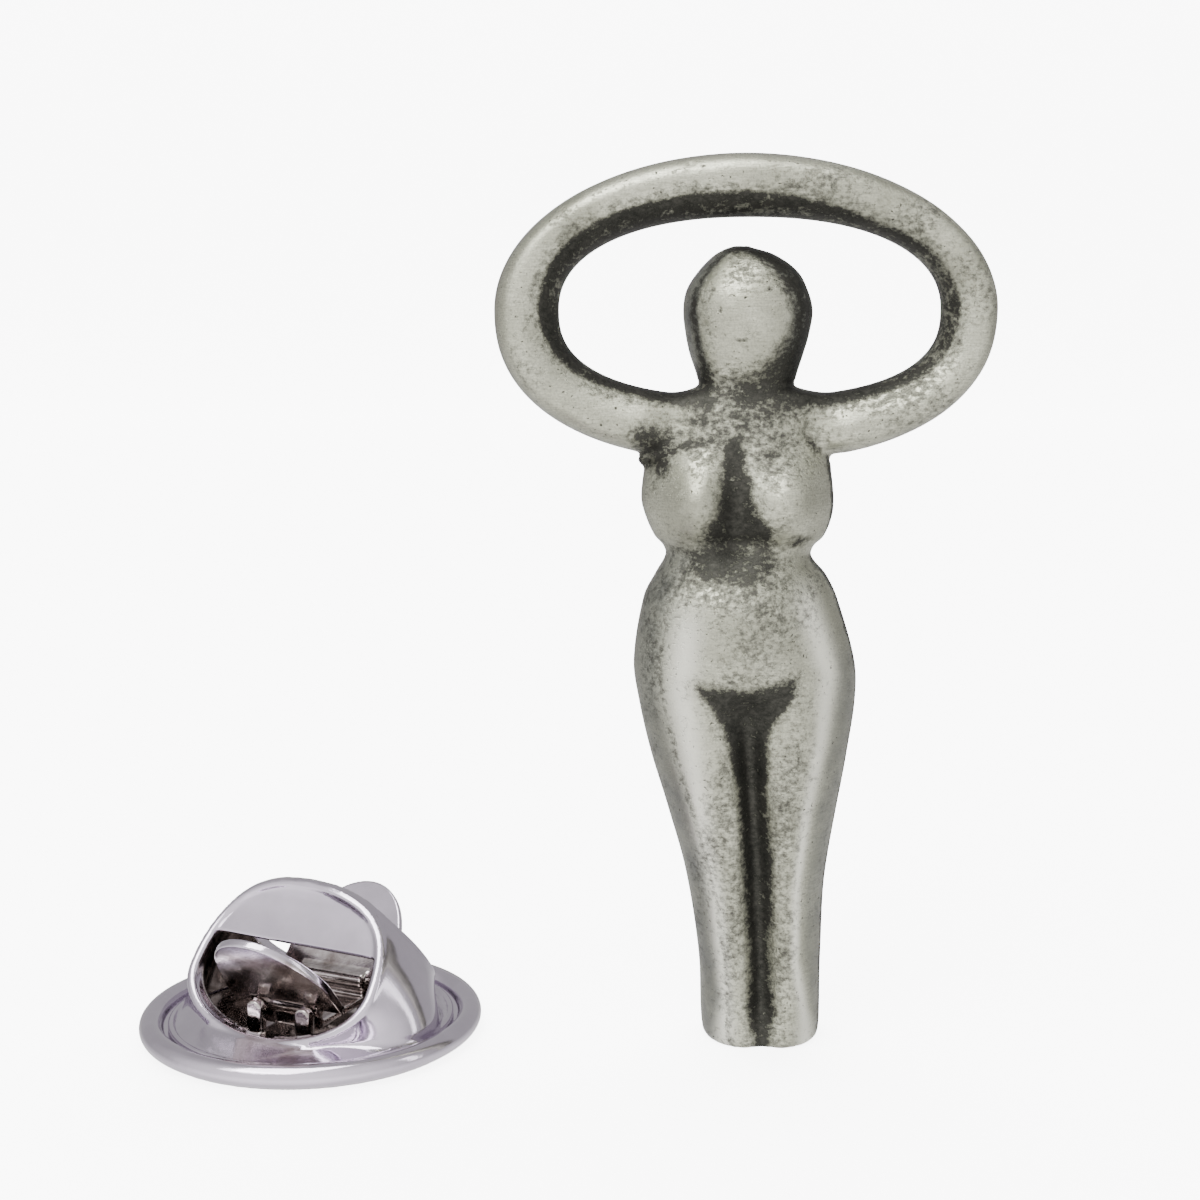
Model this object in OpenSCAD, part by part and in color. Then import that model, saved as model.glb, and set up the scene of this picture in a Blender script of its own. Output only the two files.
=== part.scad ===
// Lapel pin: a cast figure with a tack post on its back, and the butterfly clutch that holds the post.
// Millimetres, Z up. The figure stands on its flat foot and faces -Y. The clutch stands beside it.

/* [Casting] */
// Height of the arm ring's widest line above the sole
ring_z = 23.95; // [23.8:0.05:24.2]
// Half of the arm ring's outside width
ring_half_w = 8; // [7.8:0.05:8.2]
// Thickness of the arm ring from the flat back to its crest
ring_depth = 2.2; // [1.9:0.1:2.5]
// Height of the widest edge of the casting in front of its flat back
edge_depth = 0.9; // [0.7:0.05:1.1]
// Half-width of the groove between the legs
groove_half_w = 0.5; // [0.35:0.05:0.7]
// Depth of the groove between the legs
groove_depth = 0.75; // [0.4:0.05:0.9]

/* [Tack post] */
// Diameter of the post
post_d = 1.2; // [1:0.05:1.3]
// Length of the post from the flat back to its point
post_length = 8; // [6:0.5:10]
// Height of the post above the sole
post_z = 18.2; // [17.5:0.1:19]
// Place of the post across the body, from the ring's middle line
post_x = -0.15; // [-0.5:0.05:0.5]
// Diameter of the solder pad
post_pad_d = 3.2; // [2.4:0.1:4]
// Thickness of the solder pad
post_pad_t = 0.35; // [0.25:0.05:0.5]
// Length of the post's point
post_point = 1.1; // [0.8:0.1:1.5]

/* [Clutch base] */
// Outside diameter of the rolled rim
clutch_d = 11.4; // [11:0.1:12]
// Thickness of the base plate
plate_t = 0.35; // [0.3:0.05:0.45]
// Diameter of the hole that takes the post
clutch_hole_d = 1.5; // [1.4:0.05:1.6]
// Radius of the roll round the rim
roll_r = 0.37; // [0.33:0.01:0.4]

/* [Clutch cover] */
// Thickness of the cover's metal
cover_t = 0.3; // [0.25:0.05:0.4]
// Half of each mouth's greatest width, to the outside of its rim
mouth_half_w = 3.7; // [3.6:0.02:3.74]
// Height of a mouth's lowest point
mouth_low = 0.45; // [0.44:0.01:0.55]
// Height of a mouth's widest line
mouth_z = 2.2; // [2.1:0.05:2.3]
// Height of the cover's crest, where the two mouths' faces meet
cover_h = 5.12; // [5.1:0.01:5.15]
// Lean of each mouth's face from upright, below the crest
mouth_lean = 39; // [38:0.5:40]
// Height at which the mouths' faces turn upright into the crest
crest_z = 4.1; // [4:0.05:4.2]
// Half the thickness of the crest
crest_half_t = 0.2; // [0.18:0.01:0.3]
// Radius of the bead round each mouth
bead_r = 0.16; // [0.12:0.01:0.22]
// Height at which the closed upper part of each mouth begins
hood_z = 3.15; // [3.1:0.05:3.6]

/* [Clutch wings] */
// Width of a wing's elbow and jaw
wing_w = 2.5; // [2:0.05:2.7]
// Half of the width of a wing's leaf at its root
leaf_half_w = 2.15; // [1.4:0.05:2.2]
// Length of a wing from its pivot to its tip
wing_length = 3.7; // [3.2:0.05:3.8]
// Thickness of a wing's metal
wing_t = 0.28; // [0.2:0.02:0.34]
// Rise of the front wing above level
front_rise = 48; // [44:1:58]
// Rise of the back wing above level
back_rise = 45; // [44:1:58]
// Distance of a wing's pivot from the clutch's axis
pivot_out = 1.35; // [1.3:0.05:1.4]
// Turn of the two wings from the middle of the mouths
wing_turn = 3; // [0:1:4]
// Height of a wing's pivot
pivot_z = 1.35; // [1.3:0.05:1.4]
// Radius of the notch that the two jaws close round the post
jaw_r = 0.55; // [0.45:0.01:0.58]

/* [Layout] */
// Distance from the ring's middle to the clutch's axis, sideways
clutch_side = 14.35; // [14:0.05:18]
// How far the clutch's axis is in front of the casting's flat back
clutch_front = 0.6; // [0.3:0.05:3]
// Turn of the clutch's near mouth, from +X
clutch_turn = -118; // [-130:1:-100]

/* [Hidden] */

PEWTER = "#8c8c82";
PLATED_STEEL = "#b4b2b0";
NICKEL = "#b8b4bc";

// The whole part's box is centred on the origin.
clutch_r = clutch_d / 2;
ring_x = (clutch_side + clutch_r - ring_half_w) / 2;
clutch_x = ring_x - clutch_side;
back_y = (clutch_front + clutch_r - post_length) / 2;
clutch_y = back_y - clutch_front;

// Body sections from the sole to the crown: height, left and right edge from the ring's middle line, and
// depth from the flat back.
HEIGHT = 0;
LEFT = 1;
RIGHT = 2;
DEPTH = 3;
BODY = [
    [0.00, -1.08, 2.58, 2.72],
    [0.15, -1.17, 2.68, 2.86],
    [0.65, -1.22, 2.73, 2.92],
    [2.65, -1.31, 2.72, 2.90],
    [5.55, -1.77, 2.84, 3.00],
    [7.85, -2.41, 3.19, 3.20],
    [9.65, -2.96, 3.50, 3.35],
    [11.35, -3.35, 3.73, 3.45],
    [12.65, -3.52, 3.69, 3.50],
    [14.75, -3.19, 3.08, 3.35],
    [15.50, -2.81, 2.71, 3.05],
    [16.10, -2.49, 2.23, 2.80],
    [16.45, -2.58, 2.31, 2.75],
    [16.75, -2.84, 2.61, 2.75],
    [17.40, -3.11, 2.84, 2.85],
    [18.00, -3.21, 2.87, 2.90],
    [18.90, -3.05, 2.75, 2.80],
    [19.90, -2.75, 2.60, 2.55],
    [20.60, -2.45, 2.52, 2.40],
    [21.25, -2.06, 2.40, 2.15],
    [21.55, -1.46, 1.60, 2.10],
    [21.80, -1.48, 1.63, 2.20],
    [22.60, -1.75, 1.87, 2.65],
    [23.20, -1.88, 2.04, 2.85],
    [23.95, -1.96, 2.15, 2.90],
    [24.60, -1.86, 1.98, 2.75],
    [25.20, -1.48, 1.63, 2.35],
    [25.70, -0.98, 0.92, 1.80],
    [25.90, -0.60, 0.29, 1.40],
    [25.97, -0.35, -0.08, 1.10]
];
// The widest spacing of the body's sections, and the angles of the points round each: even steps over the
// front, and the two rounded edges of the flat back.
BODY_STEP = 0.45;
FRONT_STEP = 9;
BACK_ANGLES = [192, 208, 332, 348];
FRONT_FULLNESS = 0.85;
BACK_ROUNDING = 1.9;

// Rounded forms raised on the front or sunk into it: middle across and up, half-width, half-height and how
// far the form stands out.
ACROSS = 0;
UP = 1;
HALF_W = 2;
HALF_H = 3;
RAISE = 4;
RELIEF = [
    [-1.80, 17.95, 1.05, 1.25, 0.92],
    [1.50, 17.95, 1.10, 1.25, 0.92],
    [-0.35, 17.40, 0.55, 1.30, -0.35],
    [-0.30, 16.55, 1.60, 0.35, -0.25],
    [0.00, 14.10, 1.90, 1.80, 0.35],
    [-1.55, 9.00, 0.90, 3.00, 0.20],
    [1.85, 9.00, 0.90, 3.00, 0.20],
    [0.05, 11.10, 1.10, 0.75, -0.50]
];
// The groove between the legs: the height where it fades in, how softly, and its place across at both ends.
// At the sole it keeps a share of its depth, which grows to the whole over the foot's height.
GROOVE_TOP = 10.6;
GROOVE_FADE = 0.35;
GROOVE_X_TOP = 0.10;
GROOVE_X_SOLE = 0.70;
GROOVE_BEND = 1.6;
GROOVE_SOLE_SHARE = 0.35;
FOOT_H = 1.4;

// Superellipse outlines of the ring: middle across, half-width, half-height above and below, and the powers
// that set how full the upper and the lower half are.
MIDDLE = 0;
WIDE = 1;
ABOVE = 2;
BELOW = 3;
POWER_ABOVE = 4;
POWER_BELOW = 5;
RING_OUTSIDE = [0.00, ring_half_w, 4.91, 4.80, 2.00, 2.30];
RING_INSIDE = [0.16, 6.09, 2.92, 2.72, 2.25, 2.50];
// The ring's crest lies nearer its outside, and its back is rolled down to the flat.
RING_STATIONS = 64;
RING_SIDES = 14;
CREST_SHIFT = 0.25;
RING_BACK_ROLL = 1.35;

// Flank of the clutch's cover: height, and reach along the crest between the mouths.
REACH = 1;
FLANK = [
    [0.38, 4.85],
    [0.95, 4.74],
    [1.60, 4.48],
    [2.30, 4.18],
    [3.00, 3.78],
    [3.60, 3.46],
    [4.10, 3.02],
    [4.50, 2.55],
    [4.80, 1.98],
    [5.00, 1.32],
    [5.12, 0.60]
];
COVER_FOOT = FLANK[0][HEIGHT];
// Fullness of a mouth's outline above and below its widest line, softness of the bend into the crest, height
// from which the crest is rounded off, and how far below the bend the hollow ends. The crest above is solid.
MOUTH_FULL_ABOVE = 2.2;
MOUTH_FULL_BELOW = 2;
CREST_BEND = 0.25;
CREST_ROUND_Z = 4.7;
HOLLOW_BELOW = 0.42;
// Below the mouths the cover's foot flares out to a full round over this height.
FLARE_H = 0.4;
FLARE_RINGS = 3;
COVER_RINGS = 20;
COVER_SIDES = 44;
LEAST_REACH = 0.12;
CUT_REACH = 1;
CUT_RINGS = 9;
BEAD_STATIONS = 44;
BEAD_SIDES = 10;

// The wings' jaws, elbows and lugs. PAST is how far a cut or a joint runs past its face.
JAW_GAP = 0.08;
JAW_Z = 0.72;
ELBOW_R = 0.3;
RUNNING_GAP = 0.04;
LUG_T = 0.35;
LUG_W = 0.6;
LUG_TOP = 1.45;
LEAF_STEPS = 16;
LEAF_FULL = 2.4;
ROLL_LIFT = 0.08;
PAST = 0.05;
SMOOTH = 48;

// Value of one column of a table at a height, by a smooth curve through the rows.
function row_at(table, z) = max([for (i = [0 : len(table) - 2]) if (table[i][HEIGHT] <= z || i == 0) i]);
function slope_at(table, i, column) =
    let (a = max(i - 1, 0), b = min(i + 1, len(table) - 1))
    (table[b][column] - table[a][column]) / (table[b][HEIGHT] - table[a][HEIGHT]);
function column_at(table, z, column) =
    let (
        i = row_at(table, z),
        span = table[i + 1][HEIGHT] - table[i][HEIGHT],
        t = (z - table[i][HEIGHT]) / span
    )
    table[i][column] * (1 + 2 * t) * pow(1 - t, 2)
        + table[i + 1][column] * t * t * (3 - 2 * t)
        + span * slope_at(table, i, column) * t * pow(1 - t, 2)
        - span * slope_at(table, i + 1, column) * t * t * (1 - t);

// Heights of the body's rings: each table row, and even steps between rows that are far apart.
body_heights = [
    for (i = [0 : len(BODY) - 2])
        let (
            low = BODY[i][HEIGHT],
            span = BODY[i + 1][HEIGHT] - low,
            steps = ceil(span / BODY_STEP)
        )
        for (k = [0 : steps - 1]) low + span * k / steps,
    BODY[len(BODY) - 1][HEIGHT]
];

function bump(form, x, z) =
    form[RAISE] * exp(-pow((x - form[ACROSS]) / form[HALF_W], 2) - pow((z - form[UP]) / form[HALF_H], 2));
function total(list, i = 0) = i == len(list) ? 0 : list[i] + total(list, i + 1);
function groove_x(z) =
    GROOVE_X_SOLE + (GROOVE_X_TOP - GROOVE_X_SOLE) * pow(min(z / GROOVE_TOP, 1), GROOVE_BEND);
function groove_at(x, z) =
    let (
        fade = 1 / (1 + exp((z - GROOVE_TOP) / GROOVE_FADE)),
        share = GROOVE_SOLE_SHARE + (1 - GROOVE_SOLE_SHARE) * min(1, z / FOOT_H)
    )
    -groove_depth * fade * share * exp(-pow((x - groove_x(z)) / groove_half_w, 2));
function relief_at(x, z) = total([for (form = RELIEF) bump(form, x, z)]) + groove_at(x, z);

// One closed section of the body: across the front from left to right, then back along the flat back.
function back_y_at(angle) =
    let (s = min(1, BACK_ROUNDING * abs(sin(angle))))
    -edge_depth * (1 - sqrt(1 - pow(1 - s, 2)));
function body_point(z, angle) =
    let (
        left = column_at(BODY, z, LEFT),
        right = column_at(BODY, z, RIGHT),
        depth = column_at(BODY, z, DEPTH),
        x = (left + right) / 2 - cos(angle) * (right - left) / 2,
        front = edge_depth + (depth - edge_depth) * pow(abs(sin(angle)), FRONT_FULLNESS)
    )
    angle <= 180 ? [x, -front - relief_at(x, z) * sin(angle), z] : [x, back_y_at(angle), z];
BODY_ANGLES = [for (a = [0 : FRONT_STEP : 180]) a, each BACK_ANGLES];
function body_ring(z) = [for (angle = BODY_ANGLES) body_point(z, angle)];

// Closed surface through rings of points that run counter-clockwise seen from the last ring, with a flat cap
// on the first and the last ring.
module skin(rings, closed_loop = false) {
    sides = len(rings[0]);
    count = len(rings);
    spans = closed_loop ? count : count - 1;
    walls = [
        for (i = [0 : spans - 1])
            let (next = (i + 1) % count)
            for (k = [0 : sides - 1])
                let (a = i * sides + k, b = i * sides + (k + 1) % sides,
                     c = next * sides + (k + 1) % sides, d = next * sides + k)
                each [[a, c, b], [a, d, c]]
    ];
    caps = closed_loop ? [] : [
        [for (k = [0 : sides - 1]) k],
        [for (k = [sides - 1 : -1 : 0]) (count - 1) * sides + k]
    ];
    polyhedron(points = [for (ring = rings) each ring], faces = concat(walls, caps), convexity = 6);
}

function signed_power(v, power) = sign(v) * pow(abs(v), power);
function outline_point(outline, angle) =
    let (
        above = sin(angle) >= 0,
        power = 2 / outline[above ? POWER_ABOVE : POWER_BELOW],
        half_h = outline[above ? ABOVE : BELOW]
    )
    [
        outline[MIDDLE] + outline[WIDE] * signed_power(cos(angle), power),
        half_h * signed_power(sin(angle), power)
    ];
function ring_section(angle) =
    let (outside = outline_point(RING_OUTSIDE, angle), inside = outline_point(RING_INSIDE, angle))
    [
        for (k = [0 : RING_SIDES - 1])
            let (
                turn = 360 * k / RING_SIDES,
                front = max(sin(turn), 0),
                q = cos(turn) + CREST_SHIFT * front * front,
                point = (inside + outside) / 2 + q * (outside - inside) / 2,
                y = front > 0 ? -edge_depth - (ring_depth - edge_depth) * front
                    : min(0, -edge_depth - edge_depth * RING_BACK_ROLL * sin(turn))
            )
            [point.x, y, ring_z + point.y]
    ];

module figure_body() {
    skin([for (z = body_heights) body_ring(z)]);
}

module arm_ring() {
    skin([for (i = [0 : RING_STATIONS - 1]) ring_section(-360 * i / RING_STATIONS)], closed_loop = true);
}

// The body and the arm ring are one casting, taken as one closed surface.
module cast_figure() {
    color(PEWTER)
    translate([ring_x, back_y, 0])
    resize([0, 0, 0])
    union() {
        figure_body();
        arm_ring();
    }
}

// The post stands square on the flat back, on its round solder pad.
module tack_post() {
    color(PLATED_STEEL)
    translate([ring_x + post_x, back_y, post_z])
    rotate([-90, 0, 0])
    rotate_extrude($fn = SMOOTH)
    polygon([
        [0, 0],
        [post_pad_d / 2, 0],
        [post_pad_d / 2 - post_pad_t, post_pad_t],
        [post_d / 2, post_pad_t],
        [post_d / 2, post_length - post_point],
        [0, post_length]
    ]);
}

module at_clutch(more_turn = 0) {
    translate([clutch_x, clutch_y, 0])
    rotate([0, 0, clutch_turn + more_turn])
    children();
}

// One lug, standing on the base plate, with a rounded top.
module lug() {
    top = LUG_TOP - LUG_W / 2;
    translate([0, -LUG_W / 2, plate_t - PAST])
        cube([LUG_T, LUG_W, top - plate_t + PAST]);
    translate([0, 0, top])
        rotate([0, 90, 0])
        cylinder(d = LUG_W, h = LUG_T, $fn = SMOOTH);
}

// The round base plate with its rolled rim, and the two pairs of lugs that the wings bear against.
module clutch_base() {
    lug_out = pivot_out + ELBOW_R + RUNNING_GAP;
    color(NICKEL)
    at_clutch(wing_turn)
    difference() {
        union() {
            cylinder(r = clutch_r - roll_r, h = plate_t, $fn = SMOOTH);
            rotate_extrude($fn = SMOOTH)
                translate([clutch_r - roll_r, roll_r + ROLL_LIFT])
                circle(r = roll_r, $fn = SMOOTH);
            for (side = [0, 180], end = [-1, 1])
                rotate([0, 0, side])
                translate([lug_out, end * (wing_w - LUG_W) / 2, 0])
                lug();
        }
        translate([0, 0, -PAST])
            cylinder(d = clutch_hole_d, h = plate_t + 2 * PAST, $fn = SMOOTH);
    }
}

// At a height: half of a mouth's width, drawn in from its rim, and the distance of its face from the axis.
function mouth_half(z, inward) =
    let (
        above = z > mouth_z,
        span = above ? cover_h - mouth_z - inward : mouth_z - mouth_low - inward * cos(mouth_lean),
        power = above ? MOUTH_FULL_ABOVE : MOUTH_FULL_BELOW
    )
    (mouth_half_w - inward) * pow(max(0, 1 - pow(abs(z - mouth_z) / span, power)), 1 / power);
function mouth_out(z) =
    let (
        slope = CREST_BEND * ln(1 + exp((crest_z - z) / CREST_BEND)) * tan(mouth_lean),
        rounding = sqrt(1 - pow(max(0, z - CREST_ROUND_Z) / (cover_h + PAST - CREST_ROUND_Z), 2))
    )
    crest_half_t * rounding + slope;

// One level section of the cover, drawn in by the metal's thickness for its inside: flat across each mouth,
// and drawn from the mouth's corner to the flank between the mouths. The outside flares at its foot.
function cover_reach(z, angle, inward) =
    let (
        turn = abs(angle) % 180,
        away = turn > 90 ? 180 - turn : turn,
        flank = max(column_at(FLANK, z, REACH) - inward, LEAST_REACH),
        half = mouth_half(z, inward),
        flat = max(mouth_out(z) - inward / cos(mouth_lean), LEAST_REACH),
        corner = min(flank, sqrt(flat * flat + half * half)),
        corner_angle = atan2(half, flat),
        t = max(0, (away - corner_angle) / (90 - corner_angle)),
        form = flank + (corner - flank) * pow(cos(90 * t), 2),
        bell = away == 90 ? form : min(form, flat / cos(away)),
        flare = inward > 0 ? 0 : pow(max(0, 1 - (z - COVER_FOOT) / FLARE_H), 2)
    )
    bell + (flank - bell) * flare;
function cover_ring(z, level, inward) = [
    for (k = [0 : COVER_SIDES - 1])
        let (angle = 360 * k / COVER_SIDES, r = cover_reach(z, angle, inward))
        [r * cos(angle), r * sin(angle), level]
];
function cover_rings(inward, foot) = [
    cover_ring(COVER_FOOT, foot, inward),
    for (i = [1 : FLARE_RINGS])
        let (z = COVER_FOOT + FLARE_H * i / (FLARE_RINGS + 1))
        cover_ring(z, z, inward),
    for (i = [0 : COVER_RINGS])
        let (
            low = COVER_FOOT + FLARE_H,
            high = inward > 0 ? crest_z - HOLLOW_BELOW : cover_h,
            z = low + (high - low) * sin(90 * i / COVER_RINGS)
        )
        cover_ring(z, z, inward)
];

// Cuts the open lower part of a mouth through its face, inside the bead.
module mouth_cut() {
    low = mouth_low + 2 * bead_r * cos(mouth_lean);
    skin([
        for (i = [0 : CUT_RINGS])
            let (
                z = low + (hood_z - low) * (1 - cos(90 * i / CUT_RINGS)),
                half = max(mouth_half(z, 2 * bead_r), PAST),
                near = mouth_out(z) - CUT_REACH,
                far = mouth_out(z) + CUT_REACH
            )
            [[near, -half, z], [far, -half, z], [far, half, z], [near, half, z]]
    ]);
}

// The round bead that runs along a mouth's rim.
function bead_middle(angle) =
    let (
        low = mouth_low + bead_r * cos(mouth_lean),
        z = low + (cover_h - bead_r - low) * (1 - cos(angle)) / 2,
        side = sin(angle) < 0 ? -1 : 1
    )
    [mouth_out(z) - bead_r / 2, side * mouth_half(z, bead_r), z];
function unit(v) = v / norm(v);
module mouth_bead() {
    facing = [cos(mouth_lean), 0, sin(mouth_lean)];
    skin([
        for (i = [0 : BEAD_STATIONS - 1])
            let (
                angle = 360 * (i + 0.5) / BEAD_STATIONS,
                middle = bead_middle(angle),
                along = unit(bead_middle(angle + 1) - bead_middle(angle - 1)),
                across = unit(cross(along, facing)),
                out = cross(across, along)
            )
            [
                for (k = [0 : BEAD_SIDES - 1])
                    let (turn = 360 * k / BEAD_SIDES)
                    middle + bead_r * (cos(turn) * across - sin(turn) * out)
            ]
    ], closed_loop = true);
}

// The bell-shaped cover: open below, with two sloping mouths whose upper parts stay closed as hoods and meet
// in a crest.
module clutch_shell() {
    color(NICKEL)
    at_clutch()
    resize([0, 0, 0])
    union() {
        difference() {
            skin(cover_rings(0, COVER_FOOT));
            skin(cover_rings(cover_t, COVER_FOOT - PAST));
            for (side = [0, 180])
                rotate([0, 0, side])
                mouth_cut();
        }
        for (side = [0, 180])
            rotate([0, 0, side])
            mouth_bead();
    }
}

// Outline of a wing's leaf, widest at its root and rounded to its tip.
module leaf() {
    edge = [
        for (i = [0 : LEAF_STEPS])
            let (along = wing_length * sin(90 * i / LEAF_STEPS))
            [along, leaf_half_w * sqrt(1 - pow(along / wing_length, LEAF_FULL))]
    ];
    other_edge = [for (i = [LEAF_STEPS - 1 : -1 : 0]) [edge[i].x, -edge[i].y]];
    polygon(concat(edge, other_edge));
}

// One wing: its leaf, the elbow that it pivots on, and the jaw below that grips the post.
module wing(rise) {
    color(NICKEL)
    difference() {
        union() {
            translate([pivot_out, 0, pivot_z])
                rotate([0, -rise, 0])
                linear_extrude(wing_t, center = true)
                leaf();
            translate([pivot_out, 0, pivot_z])
                rotate([90, 0, 0])
                cylinder(r = ELBOW_R, h = wing_w, center = true, $fn = SMOOTH);
            translate([pivot_out - wing_t / 2, -wing_w / 2, JAW_Z - wing_t / 2])
                cube([wing_t, wing_w, pivot_z - JAW_Z + wing_t / 2]);
            translate([JAW_GAP / 2, -wing_w / 2, JAW_Z - wing_t / 2])
                cube([pivot_out - JAW_GAP / 2, wing_w, wing_t]);
        }
        cylinder(r = jaw_r, h = pivot_z, $fn = SMOOTH);
    }
}

module clutch_wing_front() {
    at_clutch(wing_turn) wing(front_rise);
}

module clutch_wing_back() {
    at_clutch(wing_turn + 180) wing(back_rise);
}

cast_figure();
tack_post();
clutch_base();
clutch_shell();
clutch_wing_front();
clutch_wing_back();
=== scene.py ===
# Looks of the lapel pin: a worn, darkened pewter casting, its plated tack post and a bright nickel clutch.
import functools
import math

import bpy
import numpy as np
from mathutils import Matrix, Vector


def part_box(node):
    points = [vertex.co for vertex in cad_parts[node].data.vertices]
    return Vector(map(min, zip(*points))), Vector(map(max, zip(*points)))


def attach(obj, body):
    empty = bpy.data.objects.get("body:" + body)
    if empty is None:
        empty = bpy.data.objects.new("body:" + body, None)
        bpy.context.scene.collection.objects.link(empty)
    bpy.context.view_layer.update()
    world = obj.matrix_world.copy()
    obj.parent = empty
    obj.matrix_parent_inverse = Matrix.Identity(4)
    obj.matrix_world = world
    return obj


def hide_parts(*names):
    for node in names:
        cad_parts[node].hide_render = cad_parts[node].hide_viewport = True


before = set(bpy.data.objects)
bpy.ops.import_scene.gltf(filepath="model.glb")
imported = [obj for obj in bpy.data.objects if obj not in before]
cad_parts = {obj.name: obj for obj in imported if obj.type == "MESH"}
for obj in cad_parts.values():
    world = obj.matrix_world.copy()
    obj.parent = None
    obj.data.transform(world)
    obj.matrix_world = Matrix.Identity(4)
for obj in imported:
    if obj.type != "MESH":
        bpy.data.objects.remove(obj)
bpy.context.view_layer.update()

MM = 0.001

# Driving sizes in millimetres, as in the solids. The casting's ring and the groove between its legs:
RING_Z = 23.95
RING_HALF_W = 8.0
RING_DEPTH = 2.2
EDGE_DEPTH = 0.9
GROOVE_HALF_W = 0.5
GROOVE_DEPTH = 0.75
# The clutch's base plate, with its hole and rolled rim:
CLUTCH_D = 11.4
PLATE_T = 0.35
CLUTCH_HOLE_D = 1.5
ROLL_R = 0.37
ROLL_LIFT = 0.08
# The clutch's cover, its two mouths and the beads round them:
COVER_T = 0.3
MOUTH_HALF_W = 3.7
MOUTH_LOW = 0.45
MOUTH_Z = 2.2
COVER_H = 5.12
MOUTH_LEAN = math.radians(39)
CREST_Z = 4.1
CREST_HALF_T = 0.2
BEAD_R = 0.14
HOOD_Z = 3.15
CLUTCH_TURN = math.radians(-118)
# The wings, their jaws, and the lugs that they bear against:
WING_W = 2.5
LEAF_HALF_W = 2.15
LEAF_FULL = 2.4
WING_LENGTH = 3.7
WING_TURN = math.radians(3)
WING_T = 0.28
FRONT_RISE = math.radians(48)
BACK_RISE = math.radians(45)
PIVOT_OUT = 1.35
PIVOT_Z = 1.35
JAW_R = 0.55
JAW_GAP = 0.08
JAW_Z = 0.72
ELBOW_R = 0.3
RUNNING_GAP = 0.04
LUG_T = 0.35
LUG_W = 0.6
LUG_TOP = 1.45

# Places taken from the frame: the ring's middle, the flat back and the clutch's axis.
figure_low, figure_high = (np.array(corner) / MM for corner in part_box("cast_figure"))
base_low, base_high = (np.array(corner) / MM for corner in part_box("clutch_base"))
FIGURE_AT = np.array([figure_low[0] + RING_HALF_W, figure_high[1], 0.0])
CLUTCH_AT = np.append((base_low[:2] + base_high[:2]) / 2, 0.0)

# Body sections: height, left and right edge from the ring's middle line, depth from the flat back.
HEIGHT, LEFT, RIGHT, DEPTH = range(4)
BODY = np.array([
    [0.00, -1.08, 2.58, 2.72],
    [0.15, -1.17, 2.68, 2.86],
    [0.65, -1.22, 2.73, 2.92],
    [2.65, -1.31, 2.72, 2.90],
    [5.55, -1.77, 2.84, 3.00],
    [7.85, -2.41, 3.19, 3.20],
    [9.65, -2.96, 3.50, 3.35],
    [11.35, -3.35, 3.73, 3.45],
    [12.65, -3.52, 3.69, 3.50],
    [14.75, -3.19, 3.08, 3.35],
    [15.50, -2.81, 2.71, 3.05],
    [16.10, -2.49, 2.23, 2.80],
    [16.45, -2.58, 2.31, 2.75],
    [16.75, -2.84, 2.61, 2.75],
    [17.40, -3.11, 2.84, 2.85],
    [18.00, -3.21, 2.87, 2.90],
    [18.90, -3.05, 2.75, 2.80],
    [19.90, -2.75, 2.60, 2.55],
    [20.60, -2.45, 2.52, 2.40],
    [21.25, -2.06, 2.40, 2.15],
    [21.55, -1.46, 1.60, 2.10],
    [21.80, -1.48, 1.63, 2.20],
    [22.60, -1.75, 1.87, 2.65],
    [23.20, -1.88, 2.04, 2.85],
    [23.95, -1.96, 2.15, 2.90],
    [24.60, -1.86, 1.98, 2.75],
    [25.20, -1.48, 1.63, 2.35],
    [25.70, -0.98, 0.92, 1.80],
    [25.90, -0.60, 0.29, 1.40],
    [25.97, -0.35, -0.08, 1.10],
])
FRONT_FULLNESS = 0.85
BACK_ROUNDING = 1.9
BODY_LEAST_SLOPE = 0.25

# Rounded forms on the front: middle across and up, half-width, half-height, and how far each stands out.
ACROSS, UP, HALF_W, HALF_H, RAISE = range(5)
RELIEF = [
    [-1.80, 17.95, 1.05, 1.25, 0.92],
    [1.50, 17.95, 1.10, 1.25, 0.92],
    [-0.35, 17.40, 0.55, 1.30, -0.35],
    [-0.30, 16.55, 1.60, 0.35, -0.25],
    [0.00, 14.10, 1.90, 1.80, 0.35],
    [-1.55, 9.00, 0.90, 3.00, 0.20],
    [1.85, 9.00, 0.90, 3.00, 0.20],
    [0.05, 11.10, 1.10, 0.75, -0.50],
]
GROOVE_TOP = 10.6
GROOVE_FADE = 0.35
GROOVE_X_TOP = 0.10
GROOVE_X_SOLE = 0.70
GROOVE_BEND = 1.6
GROOVE_SOLE_SHARE = 0.35
FOOT_H = 1.4

# Superellipses of the ring: middle across, half-width, and half-heights and powers above and below.
MIDDLE, WIDE, ABOVE, BELOW, POWER_ABOVE, POWER_BELOW = range(6)
RING_OUTSIDE = [0.00, RING_HALF_W, 4.91, 4.80, 2.00, 2.30]
RING_INSIDE = [0.16, 6.09, 2.92, 2.72, 2.25, 2.50]
# The band's crest is moved towards its outer edge, by a curve that goes on straight past its last point.
CREST_SHIFT = 0.25
CREST_LAST = 1.24
RING_BACK_ROLL = 1.35
RING_LEAST_W = 0.8
RING_LEAST_SLOPE = 0.5
BLEND = 0.8

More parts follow.
